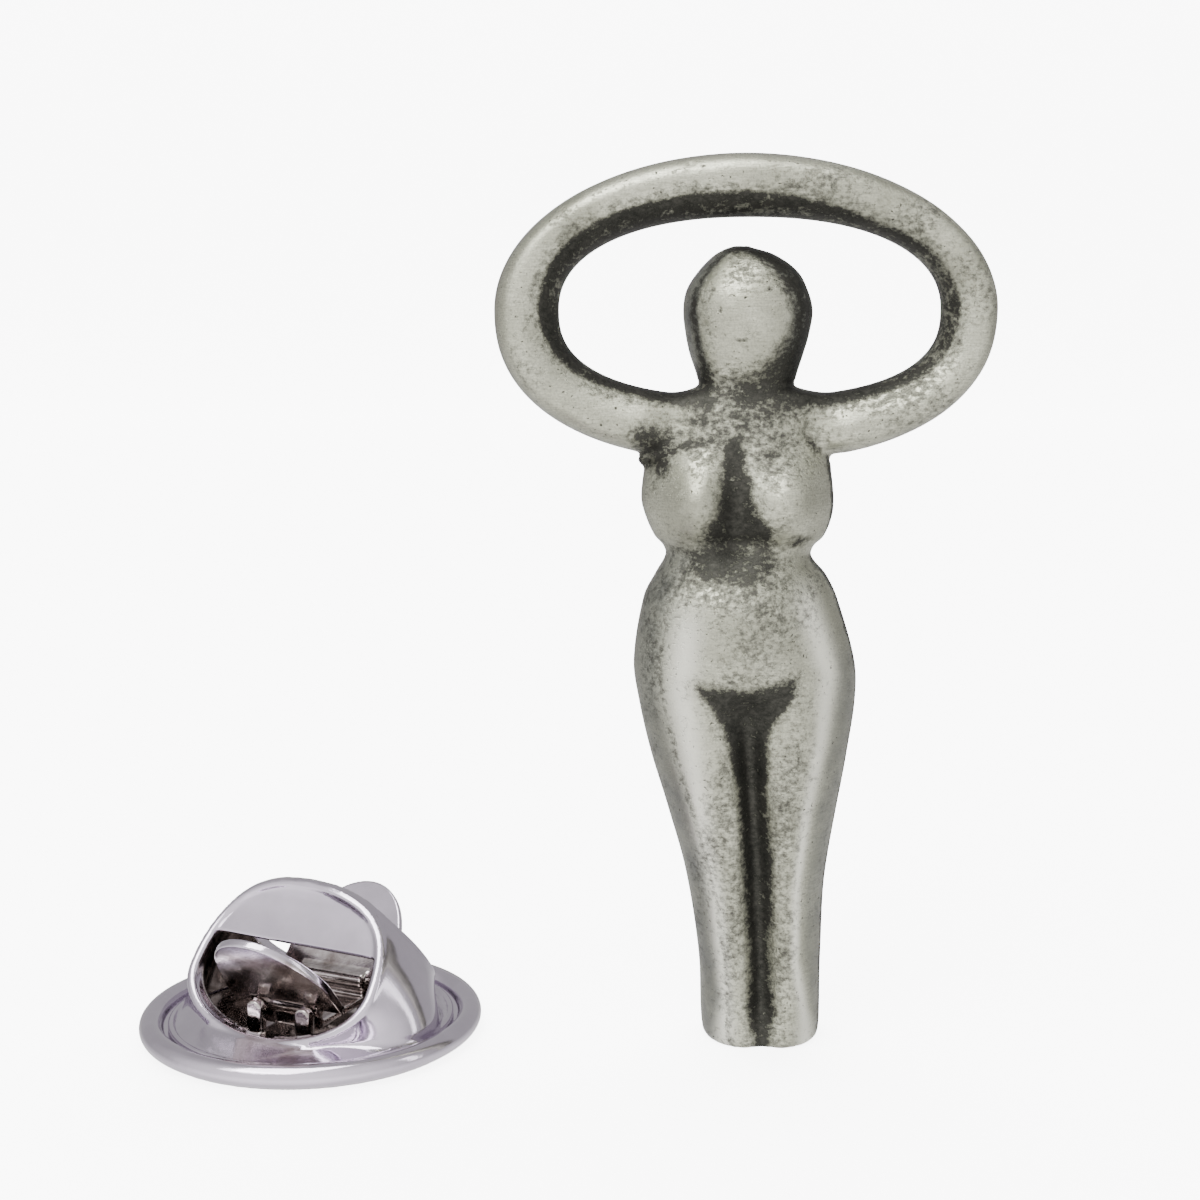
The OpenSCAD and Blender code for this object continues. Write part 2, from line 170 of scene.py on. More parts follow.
# Flank of the clutch's cover: height, and reach along the crest between the mouths.
REACH = 1
FLANK = np.array([
    [0.38, 4.76],
    [0.95, 4.69],
    [1.60, 4.48],
    [2.30, 4.18],
    [3.00, 3.78],
    [3.60, 3.46],
    [4.10, 3.02],
    [4.50, 2.55],
    [4.80, 1.98],
    [5.00, 1.32],
    [5.12, 0.60],
])
MOUTH_FULL_ABOVE = 2.2
MOUTH_FULL_BELOW = 2.0
CREST_BEND = 0.25
CREST_ROUND_Z = 4.7
HOLLOW_BELOW = 0.42
FLARE_H = 0.4
LEAST_REACH = 0.12
PAST = 0.05


def column_at(table, z, column):
    """Value of one column of a table at each height, by a smooth curve through the rows."""
    heights = table[:, HEIGHT]
    values = table[:, column]
    before = np.maximum(np.arange(len(table)) - 1, 0)
    after = np.minimum(np.arange(len(table)) + 1, len(table) - 1)
    slopes = (values[after] - values[before]) / (heights[after] - heights[before])
    i = np.clip(np.searchsorted(heights, z, side="right") - 1, 0, len(table) - 2)
    span = heights[i + 1] - heights[i]
    t = np.clip((z - heights[i]) / span, 0, 1)
    return (
        values[i] * (1 + 2 * t) * (1 - t) ** 2
        + values[i + 1] * t * t * (3 - 2 * t)
        + span * slopes[i] * t * (1 - t) ** 2
        - span * slopes[i + 1] * t * t * (1 - t)
    )


def smooth_min(a, b, width):
    """The lower of two fields, with a rounded joint of about that width."""
    near = np.maximum(width - np.abs(a - b), 0) / width
    return np.minimum(a, b) - near**3 * width / 6


def highest(*fields):
    """The highest of the fields at each place."""
    return functools.reduce(np.maximum, fields)


def fade(low, high, value):
    """From 0 at the first value to 1 at the second, with soft ends."""
    t = np.clip((value - low) / (high - low), 0, 1)
    return t * t * (3 - 2 * t)


def groove_x(z):
    share = np.clip(z / GROOVE_TOP, 0, 1) ** GROOVE_BEND
    return GROOVE_X_SOLE + (GROOVE_X_TOP - GROOVE_X_SOLE) * share


def relief_at(x, z):
    """How far the front stands out from its plain section."""
    raised = np.zeros(np.broadcast(x, z).shape)
    for form in RELIEF:
        away = ((x - form[ACROSS]) / form[HALF_W]) ** 2 + ((z - form[UP]) / form[HALF_H]) ** 2
        raised = raised + form[RAISE] * np.exp(-away)
    below_top = 1 / (1 + np.exp((z - GROOVE_TOP) / GROOVE_FADE))
    share = GROOVE_SOLE_SHARE + (1 - GROOVE_SOLE_SHARE) * np.clip(z / FOOT_H, 0, 1)
    across = (x - groove_x(z)) / GROOVE_HALF_W
    return raised - GROOVE_DEPTH * below_top * share * np.exp(-(across**2))


def body_field(x, y, z):
    """Below 0 inside the body. x is from the ring's middle, y from the flat back, z from the sole."""
    left = column_at(BODY, z, LEFT)
    right = column_at(BODY, z, RIGHT)
    rise = column_at(BODY, z, DEPTH) - EDGE_DEPTH
    half = (right - left) / 2
    across = (x - (left + right) / 2) / half
    edge = np.maximum(1 - across**2, 1e-6)
    front_rise = rise + relief_at(x, z) * edge ** ((1 - FRONT_FULLNESS) / 2)
    forward = np.maximum(-y - EDGE_DEPTH, 0) / front_rise
    power = 2 / FRONT_FULLNESS
    back = np.clip((y + EDGE_DEPTH) / EDGE_DEPTH, 0, 1)
    rounded = (1 - np.sqrt(1 - back**2)) / BACK_ROUNDING
    level = across**2 + forward**power + rounded**2 - 1
    slope_x = 2 * across / half
    slope_y = power * forward ** (power - 1) / front_rise
    return level / np.maximum(np.sqrt(slope_x**2 + slope_y**2), BODY_LEAST_SLOPE)


def outline_distance(outline, x, z):
    """About the distance outside a superellipse outline, for points near it."""
    upper = z >= 0
    high = np.where(upper, outline[ABOVE], outline[BELOW])
    power = np.where(upper, outline[POWER_ABOVE], outline[POWER_BELOW])
    a = np.abs(x - outline[MIDDLE]) / outline[WIDE] + 1e-6
    b = np.abs(z) / high + 1e-6
    gauge = (a**power + b**power) ** (1 / power)
    slope_a = a ** (power - 1) / outline[WIDE]
    slope_b = b ** (power - 1) / high
    return (gauge - 1) / (gauge ** (1 - power) * np.sqrt(slope_a**2 + slope_b**2))


def ring_band(x, z):
    """Place across the ring's band, from -1 on its inner edge to 1 on its outer one, and the band's width."""
    inner = outline_distance(RING_INSIDE, x, z - RING_Z)
    outer = -outline_distance(RING_OUTSIDE, x, z - RING_Z)
    width = np.maximum(inner + outer, RING_LEAST_W)
    return (inner - outer) / width, width


def ring_field(x, y, z):
    """Below 0 inside the arm ring."""
    q, width = ring_band(x, z)
    root = np.sqrt(1 + CREST_SHIFT - np.minimum(q, CREST_LAST))
    crest = 2 * (1 - root) + 2 * np.maximum(q - CREST_LAST, 0)
    front_h = RING_DEPTH - EDGE_DEPTH
    back_h = EDGE_DEPTH * RING_BACK_ROLL
    forward = np.maximum(-y - EDGE_DEPTH, 0) / front_h
    back = np.maximum(y + EDGE_DEPTH, 0) / back_h
    in_front = y < -EDGE_DEPTH
    level = np.where(in_front, crest**2 + forward**2, q**2 + back**2) - 1
    slope_x = np.where(in_front, 2 * crest / root, 2 * q) * 2 / width
    slope_y = np.where(in_front, 2 * forward / front_h, 2 * back / back_h)
    return level / np.maximum(np.sqrt(slope_x**2 + slope_y**2), RING_LEAST_SLOPE)


# Small flaws of the casting: middle across and up, radius and depth.
FLAW_R, FLAW_DEPTH = 2, 3
FLAWS = [
    [0.02, 23.50, 0.14, 0.09],
    [-0.33, 24.70, 0.09, 0.05],
    [0.90, 24.90, 0.08, 0.04],
    [-1.45, 24.10, 0.10, 0.05],
    [-1.38, 23.55, 0.10, 0.06],
    [-1.60, 24.45, 0.08, 0.04],
    [1.30, 18.15, 0.12, 0.05],
    [1.55, 17.35, 0.16, 0.05],
    [1.62, 12.30, 0.16, 0.06],
    [2.05, 9.75, 0.16, 0.06],
    [0.35, 12.05, 0.10, 0.04],
    [-1.05, 11.75, 0.11, 0.05],
    [-4.75, 27.90, 0.13, 0.07],
    [-1.80, 28.40, 0.11, 0.06],
]
# Shallow waves of the casting's surface: waves across and up, where each starts, and its height.
UNEVEN = [
    [0.9, 0.35, 1.0, 0.020],
    [-0.45, 1.3, 2.0, 0.014],
    [2.1, 1.7, 0.5, 0.008],
    [-1.6, 2.9, 4.0, 0.006],
]
# A burr stands out in the left armpit, drawn out from front to back.
BURR_AT = np.array([-3.20, -1.0, 19.25])
BURR_R = 0.16
BURR_DRAWN = 0.3
BURR_BLEND = 0.25
# The arms sink into the chest between these distances from the middle, and below these heights.
ARM_ROOT_INNER = 1.0
ARM_ROOT_OUTER = 3.4
ARM_SINK = 0.85
ARM_SINK_TOP = 21.2
ARM_SINK_FULL = 20.2


def casting_field(x, y, z):
    """Below 0 inside the one-piece casting, whose back and sole are flat."""
    body = np.maximum(body_field(x, y, z), z - BODY[-1, HEIGHT])
    sink = ARM_SINK * fade(ARM_SINK_TOP, ARM_SINK_FULL, z)
    sink = sink * fade(ARM_ROOT_OUTER, ARM_ROOT_INNER, np.abs(x))
    solid = smooth_min(body, ring_field(x, y, z) + sink, BLEND)
    u, v, w = x - BURR_AT[0], y - BURR_AT[1], z - BURR_AT[2]
    solid = smooth_min(solid, np.sqrt(u**2 + v**2 * BURR_DRAWN + w**2) - BURR_R, BURR_BLEND)
    forward = np.clip(-y - EDGE_DEPTH, 0, 1)
    for flaw in FLAWS:
        away = ((x - flaw[ACROSS]) ** 2 + (z - flaw[UP]) ** 2) / flaw[FLAW_R] ** 2
        solid = solid + forward * flaw[FLAW_DEPTH] * np.exp(-away)
    for along, upward, start, size in UNEVEN:
        solid = solid + forward * size * (1 + np.sin(along * x + upward * z + start))
    return highest(solid, y, -z)


# The corners of a cell, and its edges: the corner where each starts and the axis that it runs along.
CORNERS = [(i, j, k) for i in (0, 1) for j in (0, 1) for k in (0, 1)]
EDGES = [(corner, axis) for corner in CORNERS for axis in range(3) if not corner[axis]]


def surface_net(values, low, step):
    """Quads round the zero level of a grid of values, with one point in each cell that the level crosses."""
    cells = np.array(values.shape) - 1
    inside = values < 0
    count = np.zeros(cells, np.int8)
    for i, j, k in CORNERS:
        count += inside[i : i + cells[0], j : j + cells[1], k : k + cells[2]]
    active = (count > 0) & (count < len(CORNERS))
    at = np.argwhere(active)
    index = np.full(cells, -1, np.int64)
    index[active] = np.arange(len(at))
    total = np.zeros((len(at), 3))
    number = np.zeros(len(at))
    for corner, axis in EDGES:
        start = at + corner
        end = start.copy()
        end[:, axis] += 1
        a = values[tuple(start.T)]
        b = values[tuple(end.T)]
        crossed = (a < 0) != (b < 0)
        point = start.astype(float)[crossed]
        point[:, axis] += a[crossed] / (a[crossed] - b[crossed])
        total[crossed] += point
        number[crossed] += 1
    points = low + step * total / number[:, None]
    faces = []
    for axis in range(3):
        u = (axis + 1) % 3
        v = (axis + 2) % 3
        at = np.argwhere(np.diff(inside, axis=axis))
        kept = (at[:, u] > 0) & (at[:, v] > 0) & (at[:, u] < cells[u]) & (at[:, v] < cells[v])
        at = at[kept]
        quad = []
        for du, dv in ((1, 1), (0, 1), (0, 0), (1, 0)):
            cell = at.copy()
            cell[:, u] -= du
            cell[:, v] -= dv
            quad.append(index[tuple(cell.T)])
        quad = np.stack(quad, 1)
        inward = ~inside[tuple(at.T)]
        quad[inward] = quad[inward][:, ::-1]
        faces.append(quad)
    return points, np.concatenate(faces)


def slope_of(field, points, reach):
    """Value and slope of a field at points."""
    slope = np.zeros_like(points)
    for axis in range(3):
        ahead = points.copy()
        ahead[:, axis] += reach
        behind = points.copy()
        behind[:, axis] -= reach
        slope[:, axis] = (field(*ahead.T) - field(*behind.T)) / (2 * reach)
    return field(*points.T), slope


# In steps of the grid: margins round the box, reaches of the slopes, and a point's longest move in a round.
MARGIN_BELOW = 2.5
MARGIN_ABOVE = 3
SETTLE_REACH = 0.1
DIRECTION_REACH = 0.5
LONGEST_MOVE = 0.5
# Rounds of settling, and the least square of a slope.
SETTLE_ROUNDS = 3
LEAST_SQUARE = 0.01


def net_of(field, low, high, step):
    """Points, quads and outward directions of a field's surface inside a box, in millimetres."""
    axes = [np.arange(low[a] - MARGIN_BELOW * step, high[a] + MARGIN_ABOVE * step, step) for a in range(3)]
    grid = np.meshgrid(*axes, indexing="ij", sparse=True)
    values = field(*grid)
    points, quads = surface_net(values, np.array([axis[0] for axis in axes]), step)
    for _ in range(SETTLE_ROUNDS):
        value, slope = slope_of(field, points, step * SETTLE_REACH)
        size = np.maximum((slope**2).sum(1), LEAST_SQUARE)
        move = slope * (value / size)[:, None]
        length = np.linalg.norm(move, axis=1, keepdims=True)
        points = points - move * np.minimum(1, LONGEST_MOVE * step / np.maximum(length, 1e-9))
    slope = slope_of(field, points, step * DIRECTION_REACH)[1]
    return points, quads, slope / np.linalg.norm(slope, axis=1, keepdims=True)


def in_scene(name, data):
    """A new object with that data, linked to the scene."""
    made = bpy.data.objects.new(name, data)
    bpy.context.scene.collection.objects.link(made)
    return made


def mesh_object(name, points, faces, at, turn=0.0):
    """A smooth mesh object of points in millimetres, turned about the upright axis and moved to a place."""
    cos, sin = math.cos(turn), math.sin(turn)
    x, y, z = np.asarray(points, float).T
    placed = np.stack([x * cos - y * sin + at[0], x * sin + y * cos + at[1], z + at[2]], 1)
    mesh = bpy.data.meshes.new(name)
    mesh.from_pydata((placed * MM).tolist(), [], [list(face) for face in faces])
    mesh.polygons.foreach_set("use_smooth", [True] * len(mesh.polygons))
    mesh.update()
    return in_scene(name, mesh)


def store(made, name, values):
    attribute = made.data.attributes.new(name, "FLOAT", "POINT")
    attribute.data.foreach_set("value", np.asarray(values, np.float32))


# Dark stains that polishing has not reached: height, and the stain's left and right edge.
STAIN_LEFT, STAIN_RIGHT = 1, 2
CLEAVAGE = np.array([
    [15.35, -1.30, 0.30],
    [15.90, -1.75, 0.95],
    [16.77, -1.50, 0.88],
    [17.16, -1.35, 0.78],
    [17.57, -1.02, 0.36],
    [18.09, -1.00, 0.24],
    [18.59, -0.90, 0.16],
    [19.30, -0.82, 0.00],
    [20.00, -0.62, -0.25],
])
LEG_GROOVE = np.array([
    [-0.40, 0.40, 0.95],
    [0.65, 0.28, 1.08],
    [1.22, 0.17, 1.18],
    [2.08, 0.24, 1.02],
    [2.94, 0.26, 0.96],
    [4.07, 0.14, 0.99],
    [5.56, -0.02, 1.02],
    [6.69, -0.08, 0.95],
    [7.81, -0.18, 0.82],
    [8.90, -0.31, 0.74],
    [9.73, -0.53, 0.76],
    [10.53, -0.65, 0.72],
    [11.07, -0.91, 1.08],
    [11.62, -1.20, 1.38],
    [11.82, -1.48, 1.50],
    [12.37, -1.80, 1.66],
    [13.20, -1.95, 1.95],
])
STAIN_SOFT = 0.30
HALO_SOFT = 0.75
HALO_STRENGTH = 0.6
ROUND_STAINS = 2.4
UNDER_BUST = (17.1, 16.6)
WORN_UNDER_BUST = 0.25
# The top edge of the groove's stain sags between its two corners.
STAIN_TOP_Z = 12.12
STAIN_TOP_SAG = 0.20
STAIN_TOP_SLANT = 0.08
STAIN_TOP_FADE = (0.40, -0.35)

# Soft dark patches: middle across and up, half-width, half-height, lean in degrees, and strength.
LEAN, STRENGTH = 4, 5
PATCH_EDGE = 1.2
PATCHES_STRENGTH = 0.95
PATCHES = [
    # The first two rows are painted shadow under the breasts.
    [1.65, 16.72, 0.60, 0.24, -12, 0.80],
    [-1.90, 16.38, 0.75, 0.20, 8, 0.60],
    [-2.35, 15.95, 0.35, 0.50, 30, 0.45],
    [-0.30, 16.20, 1.00, 0.35, 0, 0.45],
    [-2.95, 19.90, 0.85, 0.62, 20, 0.95],
    [-2.65, 19.25, 0.32, 0.75, 0, 0.80],
    [-3.20, 19.20, 0.30, 0.35, 0, 1.00],
    [2.25, 19.65, 0.16, 0.35, -40, 0.65],
    [0.64, 19.42, 0.55, 0.20, 0, 0.70],
    [-1.71, 19.75, 0.80, 0.13, -12, 0.75],
    [-1.55, 20.45, 0.60, 0.12, 6, 0.60],
    [0.95, 20.75, 0.70, 0.20, -20, 0.60],
    [2.05, 19.75, 0.14, 0.35, -30, 0.60],
    [-1.30, 21.60, 0.45, 0.75, 0, 1.00],
    [1.25, 21.80, 0.75, 1.00, -8, 1.00],
    [0.15, 21.55, 1.10, 0.55, 0, 0.88],
    [0.00, 20.65, 2.40, 0.65, 0, 0.66],
    [-1.20, 19.90, 1.10, 0.50, 0, 0.55],
    [1.10, 19.75, 1.00, 0.50, 0, 0.60],
    [-0.15, 15.75, 1.70, 0.55, 0, 0.55],
    [-0.20, 23.02, 0.22, 0.07, 0, 0.70],
    [-0.55, 24.36, 0.10, 0.08, 0, 0.80],
    [0.63, 24.55, 0.12, 0.10, 0, 0.80],
    [-0.90, 23.93, 0.10, 0.12, 0, 0.80],
    [0.75, 23.75, 0.10, 0.14, 20, 0.60],
    [-1.15, 24.45, 0.12, 0.25, 20, 0.60],
    [0.35, 21.30, 2.20, 0.35, 0, 0.50],
    [-1.95, 21.28, 0.90, 0.34, 0, 1.00],
    [2.00, 21.18, 0.95, 0.38, 0, 1.00],
]
# Ridges of the legs that get a painted highlight: height, place across, and half-width.
RIDGE_X, RIDGE_HALF_W = 1, 2
LEFT_RIDGE = np.array([
    [0.60, -0.55, 0.30],
    [1.60, -0.50, 0.20],
    [4.90, -0.85, 0.26],
    [7.50, -1.35, 0.32],
    [9.70, -1.75, 0.40],
    [12.00, -2.10, 0.45],
    [14.50, -1.90, 0.50],
])
RIGHT_RIDGE = np.array([
    [0.60, 2.15, 0.30],
    [1.20, 2.05, 0.18],
    [3.00, 1.72, 0.14],
    [5.50, 1.72, 0.14],
    [8.00, 1.98, 0.18],
    [10.30, 2.42, 0.24],
    [12.50, 2.62, 0.35],
    [15.00, 1.90, 0.45],
])
# Speckled areas, where the dark coat is worn to spots: the same columns.
SPECKLED = [
    [0.00, 20.40, 2.60, 0.95, 0, 1.00],
    [0.80, 19.30, 1.50, 0.80, 0, 0.80],
    [-1.30, 19.60, 1.20, 0.55, 0, 0.75],
    [-0.20, 15.60, 1.90, 0.90, 0, 0.95],
    [0.50, 14.40, 1.50, 1.40, -15, 0.80],
    [-2.20, 15.50, 0.80, 1.30, 15, 0.65],
    [2.20, 15.40, 0.40, 1.10, 25, 0.60],
    [-2.95, 13.30, 0.45, 2.40, 0, 0.85],
    [-0.75, 8.00, 0.60, 4.50, 10, 0.80],
    [-0.30, 4.00, 0.45, 3.50, 4, 0.80],
    [1.35, 8.60, 0.70, 2.60, 5, 0.85],
    [1.35, 3.60, 0.45, 3.20, 0, 0.70],
    [-0.10, 12.40, 1.80, 0.35, 0, 0.60],
    [-1.45, 23.70, 0.45, 1.20, 0, 0.55],
    [0.00, 25.10, 1.10, 0.60, 0, 0.45],
    [0.00, 21.60, 1.20, 0.60, 0, 0.80],
    [4.60, 20.80, 1.80, 0.55, 25, 0.50],
    [-2.30, 6.20, 0.35, 4.20, -8, 0.50],
    [5.60, 27.00, 2.00, 0.65, -32, 0.90],
    [7.20, 25.00, 0.60, 1.30, -20, 0.70],
    [6.35, 23.20, 0.50, 1.20, 0, 0.85],
    [2.50, 27.90, 2.00, 0.60, -8, 0.70],
    [-5.50, 26.60, 1.80, 0.50, 35, 0.45],
    [-6.90, 22.60, 0.50, 1.60, 0, 0.40],
    [5.60, 21.50, 1.60, 0.60, 35, 0.70],
]
# How far across the ring's band its dark inner wall reaches, by the angle round the ring in degrees.
WALL_ANGLES = [-180, -135, -90, -45, 0, 45, 90, 135, 180]
WALL_LIMITS = [-0.36, -0.70, -0.66, -0.62, -0.46, -0.60, -0.24, -0.24, -0.36]
WALL_SOFT = 0.16
WORN_DEEP = 0.16
DEEP_FROM = 0.2
DEEP_FULL = 0.5
WORN_RIGHT = 0.18
RIGHT_FROM = (3.0, 6.0)
WALL_SPECKS = 0.55
WALL_SPECKS_AT = 0.1
WALL_SPECKS_HALF_W = 0.22

# Each pair below says where something begins and where it is full. First heights on the body.
HEAD_FROM = (21.7, 22.2)
CROWN_FROM = (25.35, 25.80)
BUST_FROM = (16.6, 17.0)
BUST_TO = (19.6, 19.2)
BUST_LINE_FROM = (17.2, 18.2)
LEGS_TO = (16.6, 16.0)
FLANK_TO = (17.0, 16.0)
THIGH_TO = (14.5, 12.5)
LOW_FLANK = (10.0, 7.0)
# Distances from the body's left edge, from its right edge, from the thigh's ridge, off the body, and across
# the ring's band.
FLANK_EDGE = (1.15, 0.45)
HEAD_LEFT = (0.5, 0.3)
HEAD_RIGHT = (1.2, 0.5)
HEAD_SIDE = (1.30, 0.35)
RIGHT_EDGE = (0.24, 0.05)
PAST_RIDGE = (0.1, 0.5)
OFF_BODY = (-0.05, 0.25)
OUTER_EDGE = (0.86, 1.0)
BAND_REACH = 1.2
# How squarely the surface faces the front.
ON_FRONT = (-0.1, 0.25)
ON_EDGE = (0.02, 0.14)
ON_SIDE = (0.45, 0.10)
ON_BACK = (0.0, -0.5)
# The head's dark right side bows in above and below its middle height.
HEAD_MIDDLE = 23.6
HEAD_SIDE_BOW = 0.12
# Strengths of the coats and of the painted shade.
HEAD_SIDE_COAT = 0.92
CROWN_COAT = 0.7
RIGHT_EDGE_SHADE = 0.85
BACK_SHADE = 0.3
FLANK_SHADE = 0.8
LOW_FLANK_SHADE = 0.3
THIGH_SHADE = 0.75
SIDE_SHADE = 0.7
OUTER_SHADE = 0.5
# Dark lines along the left edge: distance from the edge, half-width and strength.
LINE_AT, LINE_HALF_W, LINE_STRENGTH = range(3)
HEAD_LINE = [0.28, 0.15, 0.80]
FLANK_LINE = [0.80, 0.16, 0.50]
BUST_LINE = [0.20, 0.16, 0.35]


def patches_at(table, x, z):
    """Strength at a point of the patches, added up softly."""
    clear = np.ones(len(x))
    for row in table:
        lean = math.radians(row[LEAN])
        dx = x - row[ACROSS]
        dz = z - row[UP]
        a = (dx * math.cos(lean) - dz * math.sin(lean)) / row[HALF_W]
        b = (dx * math.sin(lean) + dz * math.cos(lean)) / row[HALF_H]
        clear = clear * (1 - row[STRENGTH] * np.exp(-((a * a + b * b) ** PATCH_EDGE)))
    return 1 - clear


def line_at(table, z, column):
    """Value of one column of a table at each height, straight from row to row."""
    return np.interp(z, table[:, HEIGHT], table[:, column])


def stain_at(table, x, z, soft):
    """From 0 to 1 inside a stain's edges, over a given softness."""
    left = line_at(table, z, STAIN_LEFT) - x
    right = x - line_at(table, z, STAIN_RIGHT)
    outside = highest(left, right, z - table[-1, HEIGHT], table[0, HEIGHT] - z)
    return fade(soft, -soft, outside)


def ridge_at(table, x, z):
    """From 0 to 1 near a ridge's line."""
    share = (x - line_at(table, z, RIDGE_X)) / line_at(table, z, RIDGE_HALF_W)
    return np.exp(-(share**2)) * fade(table[-1, HEIGHT] + 1, table[-1, HEIGHT] - 1, z)


def layered(*coats):
    """Coats from 0 to 1 laid over each other."""
    clear = 1
    for coat in coats:
        clear = clear * (1 - coat)
    return 1 - clear


def ring_wall(x, z, q):
    """The dark coat on the ring's inner wall, and the specks along the coat's edge."""
    angle = np.degrees(np.arctan2((z - RING_Z) / RING_OUTSIDE[ABOVE], x / RING_HALF_W))
    limit = np.interp(angle, WALL_ANGLES, WALL_LIMITS)
    coat = fade(limit + WALL_SOFT, limit - WALL_SOFT, q)
    worn = WORN_DEEP * fade(limit - DEEP_FROM, limit - DEEP_FULL, q) + WORN_RIGHT * fade(*RIGHT_FROM, x)
    specks = WALL_SPECKS * np.exp(-(((q - limit - WALL_SPECKS_AT) / WALL_SPECKS_HALF_W) ** 2))
    return coat * (1 - worn), specks


def haloed_stain(table, x, z, strength):
    """A stain of some strength, with its softer halo."""
    halo = stain_at(table, x, z, HALO_SOFT) * HALO_STRENGTH
    return np.maximum(stain_at(table, x, z, STAIN_SOFT) * strength, halo)


def stains_at(x, z):
    """The stains between the breasts and down the groove of the legs."""
    top_z = STAIN_TOP_Z + STAIN_TOP_SAG * np.abs(x) + STAIN_TOP_SLANT * x
    groove = haloed_stain(LEG_GROOVE, x, z, 1) * fade(*STAIN_TOP_FADE, z - top_z)
    under_bust = 1 - WORN_UNDER_BUST * fade(*UNDER_BUST, z)
    return np.maximum(groove, haloed_stain(CLEAVAGE, x, z, under_bust))


def edge_line(line, distance):
    return line[LINE_STRENGTH] * np.exp(-(((distance - line[LINE_AT]) / line[LINE_HALF_W]) ** 2))


def head_coat(z, left, right, front):
    """The coat round the head: a line inside its left edge, its whole right side, and its crown."""
    side = HEAD_SIDE_COAT * fade(*HEAD_SIDE, right - HEAD_SIDE_BOW * np.abs(z - HEAD_MIDDLE))
    crown = CROWN_COAT * fade(*CROWN_FROM, z)
    coat = highest(edge_line(HEAD_LINE, left) * front, side, crown)
    return coat * fade(*HEAD_FROM, z)


def edge_coat_and_shade(z, left, right, facing, front, on_body):
    """Dark lines inside the edges of the bust and the legs: patina along the left edge, and painted shade
    along the right one.
    """
    bust = fade(*BUST_FROM, z) * fade(*BUST_TO, z) * on_body
    legs = fade(*LEGS_TO, z) * on_body
    # Painted shade: a dark line along the right edge.
    right_edge_shade = RIGHT_EDGE_SHADE * fade(*RIGHT_EDGE, right) * fade(*ON_EDGE, facing)
    flank_line = edge_line(FLANK_LINE, left) * legs * front
    bust_line = edge_line(BUST_LINE, left) * bust * fade(*BUST_LINE_FROM, z) * front
    return layered(flank_line, right_edge_shade * np.maximum(legs, bust), bust_line)


def body_painted_shade(x, z, left, right):
    """Painted shade where the body turns away from the light: down its left flank, beside the head and on the
    right thigh.
    """
    flank = (FLANK_SHADE + LOW_FLANK_SHADE * fade(*LOW_FLANK, z)) * fade(*FLANK_EDGE, left)
    flank = np.minimum(flank, 1) * fade(*FLANK_TO, z)
    beside_head = np.maximum(fade(*HEAD_LEFT, left), fade(*HEAD_RIGHT, right))
    beside_head = beside_head * fade(*HEAD_FROM, z)
    thigh = THIGH_SHADE * fade(*PAST_RIDGE, x - line_at(RIGHT_RIDGE, z, RIDGE_X))
    thigh = thigh * fade(*THIGH_TO, z)
    return highest(flank, beside_head, thigh)


def casting_patina_and_shade(points, directions):
    """How dark and speckled each point of the casting is, and how much painted shade and painted highlight it
    gets, from 0 to 1.
    """
    x, y, z = points.T
    facing = -directions[:, 1]
    front = fade(*ON_FRONT, facing)
    left = x - column_at(BODY, z, LEFT)
    right = column_at(BODY, z, RIGHT) - x
    q = ring_band(x, z)[0]
    on_ring = fade(*OFF_BODY, body_field(x, y, z)) * (np.abs(q) < BAND_REACH)
    on_body = 1 - on_ring
    wall, wall_specks = ring_wall(x, z, q)
    stains = stains_at(x, z) * front
    patches = patches_at(PATCHES, x, z) * front * PATCHES_STRENGTH
    head = head_coat(z, left, right, front) * on_body
    edges = edge_coat_and_shade(z, left, right, facing, front, on_body)
    shade = layered(wall * on_ring, stains, patches, head, edges)
    on_back = fade(*ON_BACK, facing)
    shade = shade * (1 - on_back) + BACK_SHADE * on_back
    round_stains = ROUND_STAINS * stains * (1 - stains)
    speckle = highest(patches_at(SPECKLED, x, z), wall_specks * on_ring, round_stains)
    # Painted shade where the surface turns sideways and on the ring's outer edge.
    side = SIDE_SHADE * fade(*ON_SIDE, facing)
    outer = OUTER_SHADE * fade(*OUTER_EDGE, q) * on_ring
    painted_shade = highest(body_painted_shade(x, z, left, right) * on_body, side, outer)
    # A painted highlight along the legs' ridges.
    painted_highlight = np.maximum(ridge_at(LEFT_RIDGE, x, z), ridge_at(RIGHT_RIDGE, x, z)) * front * (1 - stains)
    return shade, speckle, painted_shade, painted_highlight


def cover_reach(z, angle, inward):
    """How far the cover reaches from its axis at a height and an angle from the mouth's direction."""
    turn = np.mod(np.abs(angle), math.pi)
    away = np.where(turn > math.pi / 2, math.pi - turn, turn)
    flank = np.maximum(column_at(FLANK, z, REACH) - inward, LEAST_REACH)
    half = mouth_half(z, inward)
    flat = np.maximum(mouth_out(z) - inward / math.cos(MOUTH_LEAN), LEAST_REACH)
    corner = np.minimum(flank, np.hypot(flat, half))
    corner_angle = np.arctan2(half, flat)
    t = np.clip((away - corner_angle) / (math.pi / 2 - corner_angle), 0, 1)
    form = flank + (corner - flank) * np.cos(t * math.pi / 2) ** 2
    bell = np.minimum(form, flat / np.maximum(np.cos(away), 1e-6))
    flare = np.clip(1 - (z - FLANK[0, HEIGHT]) / FLARE_H, 0, 1) ** 2 if inward == 0 else 0.0
    return bell + (flank - bell) * flare


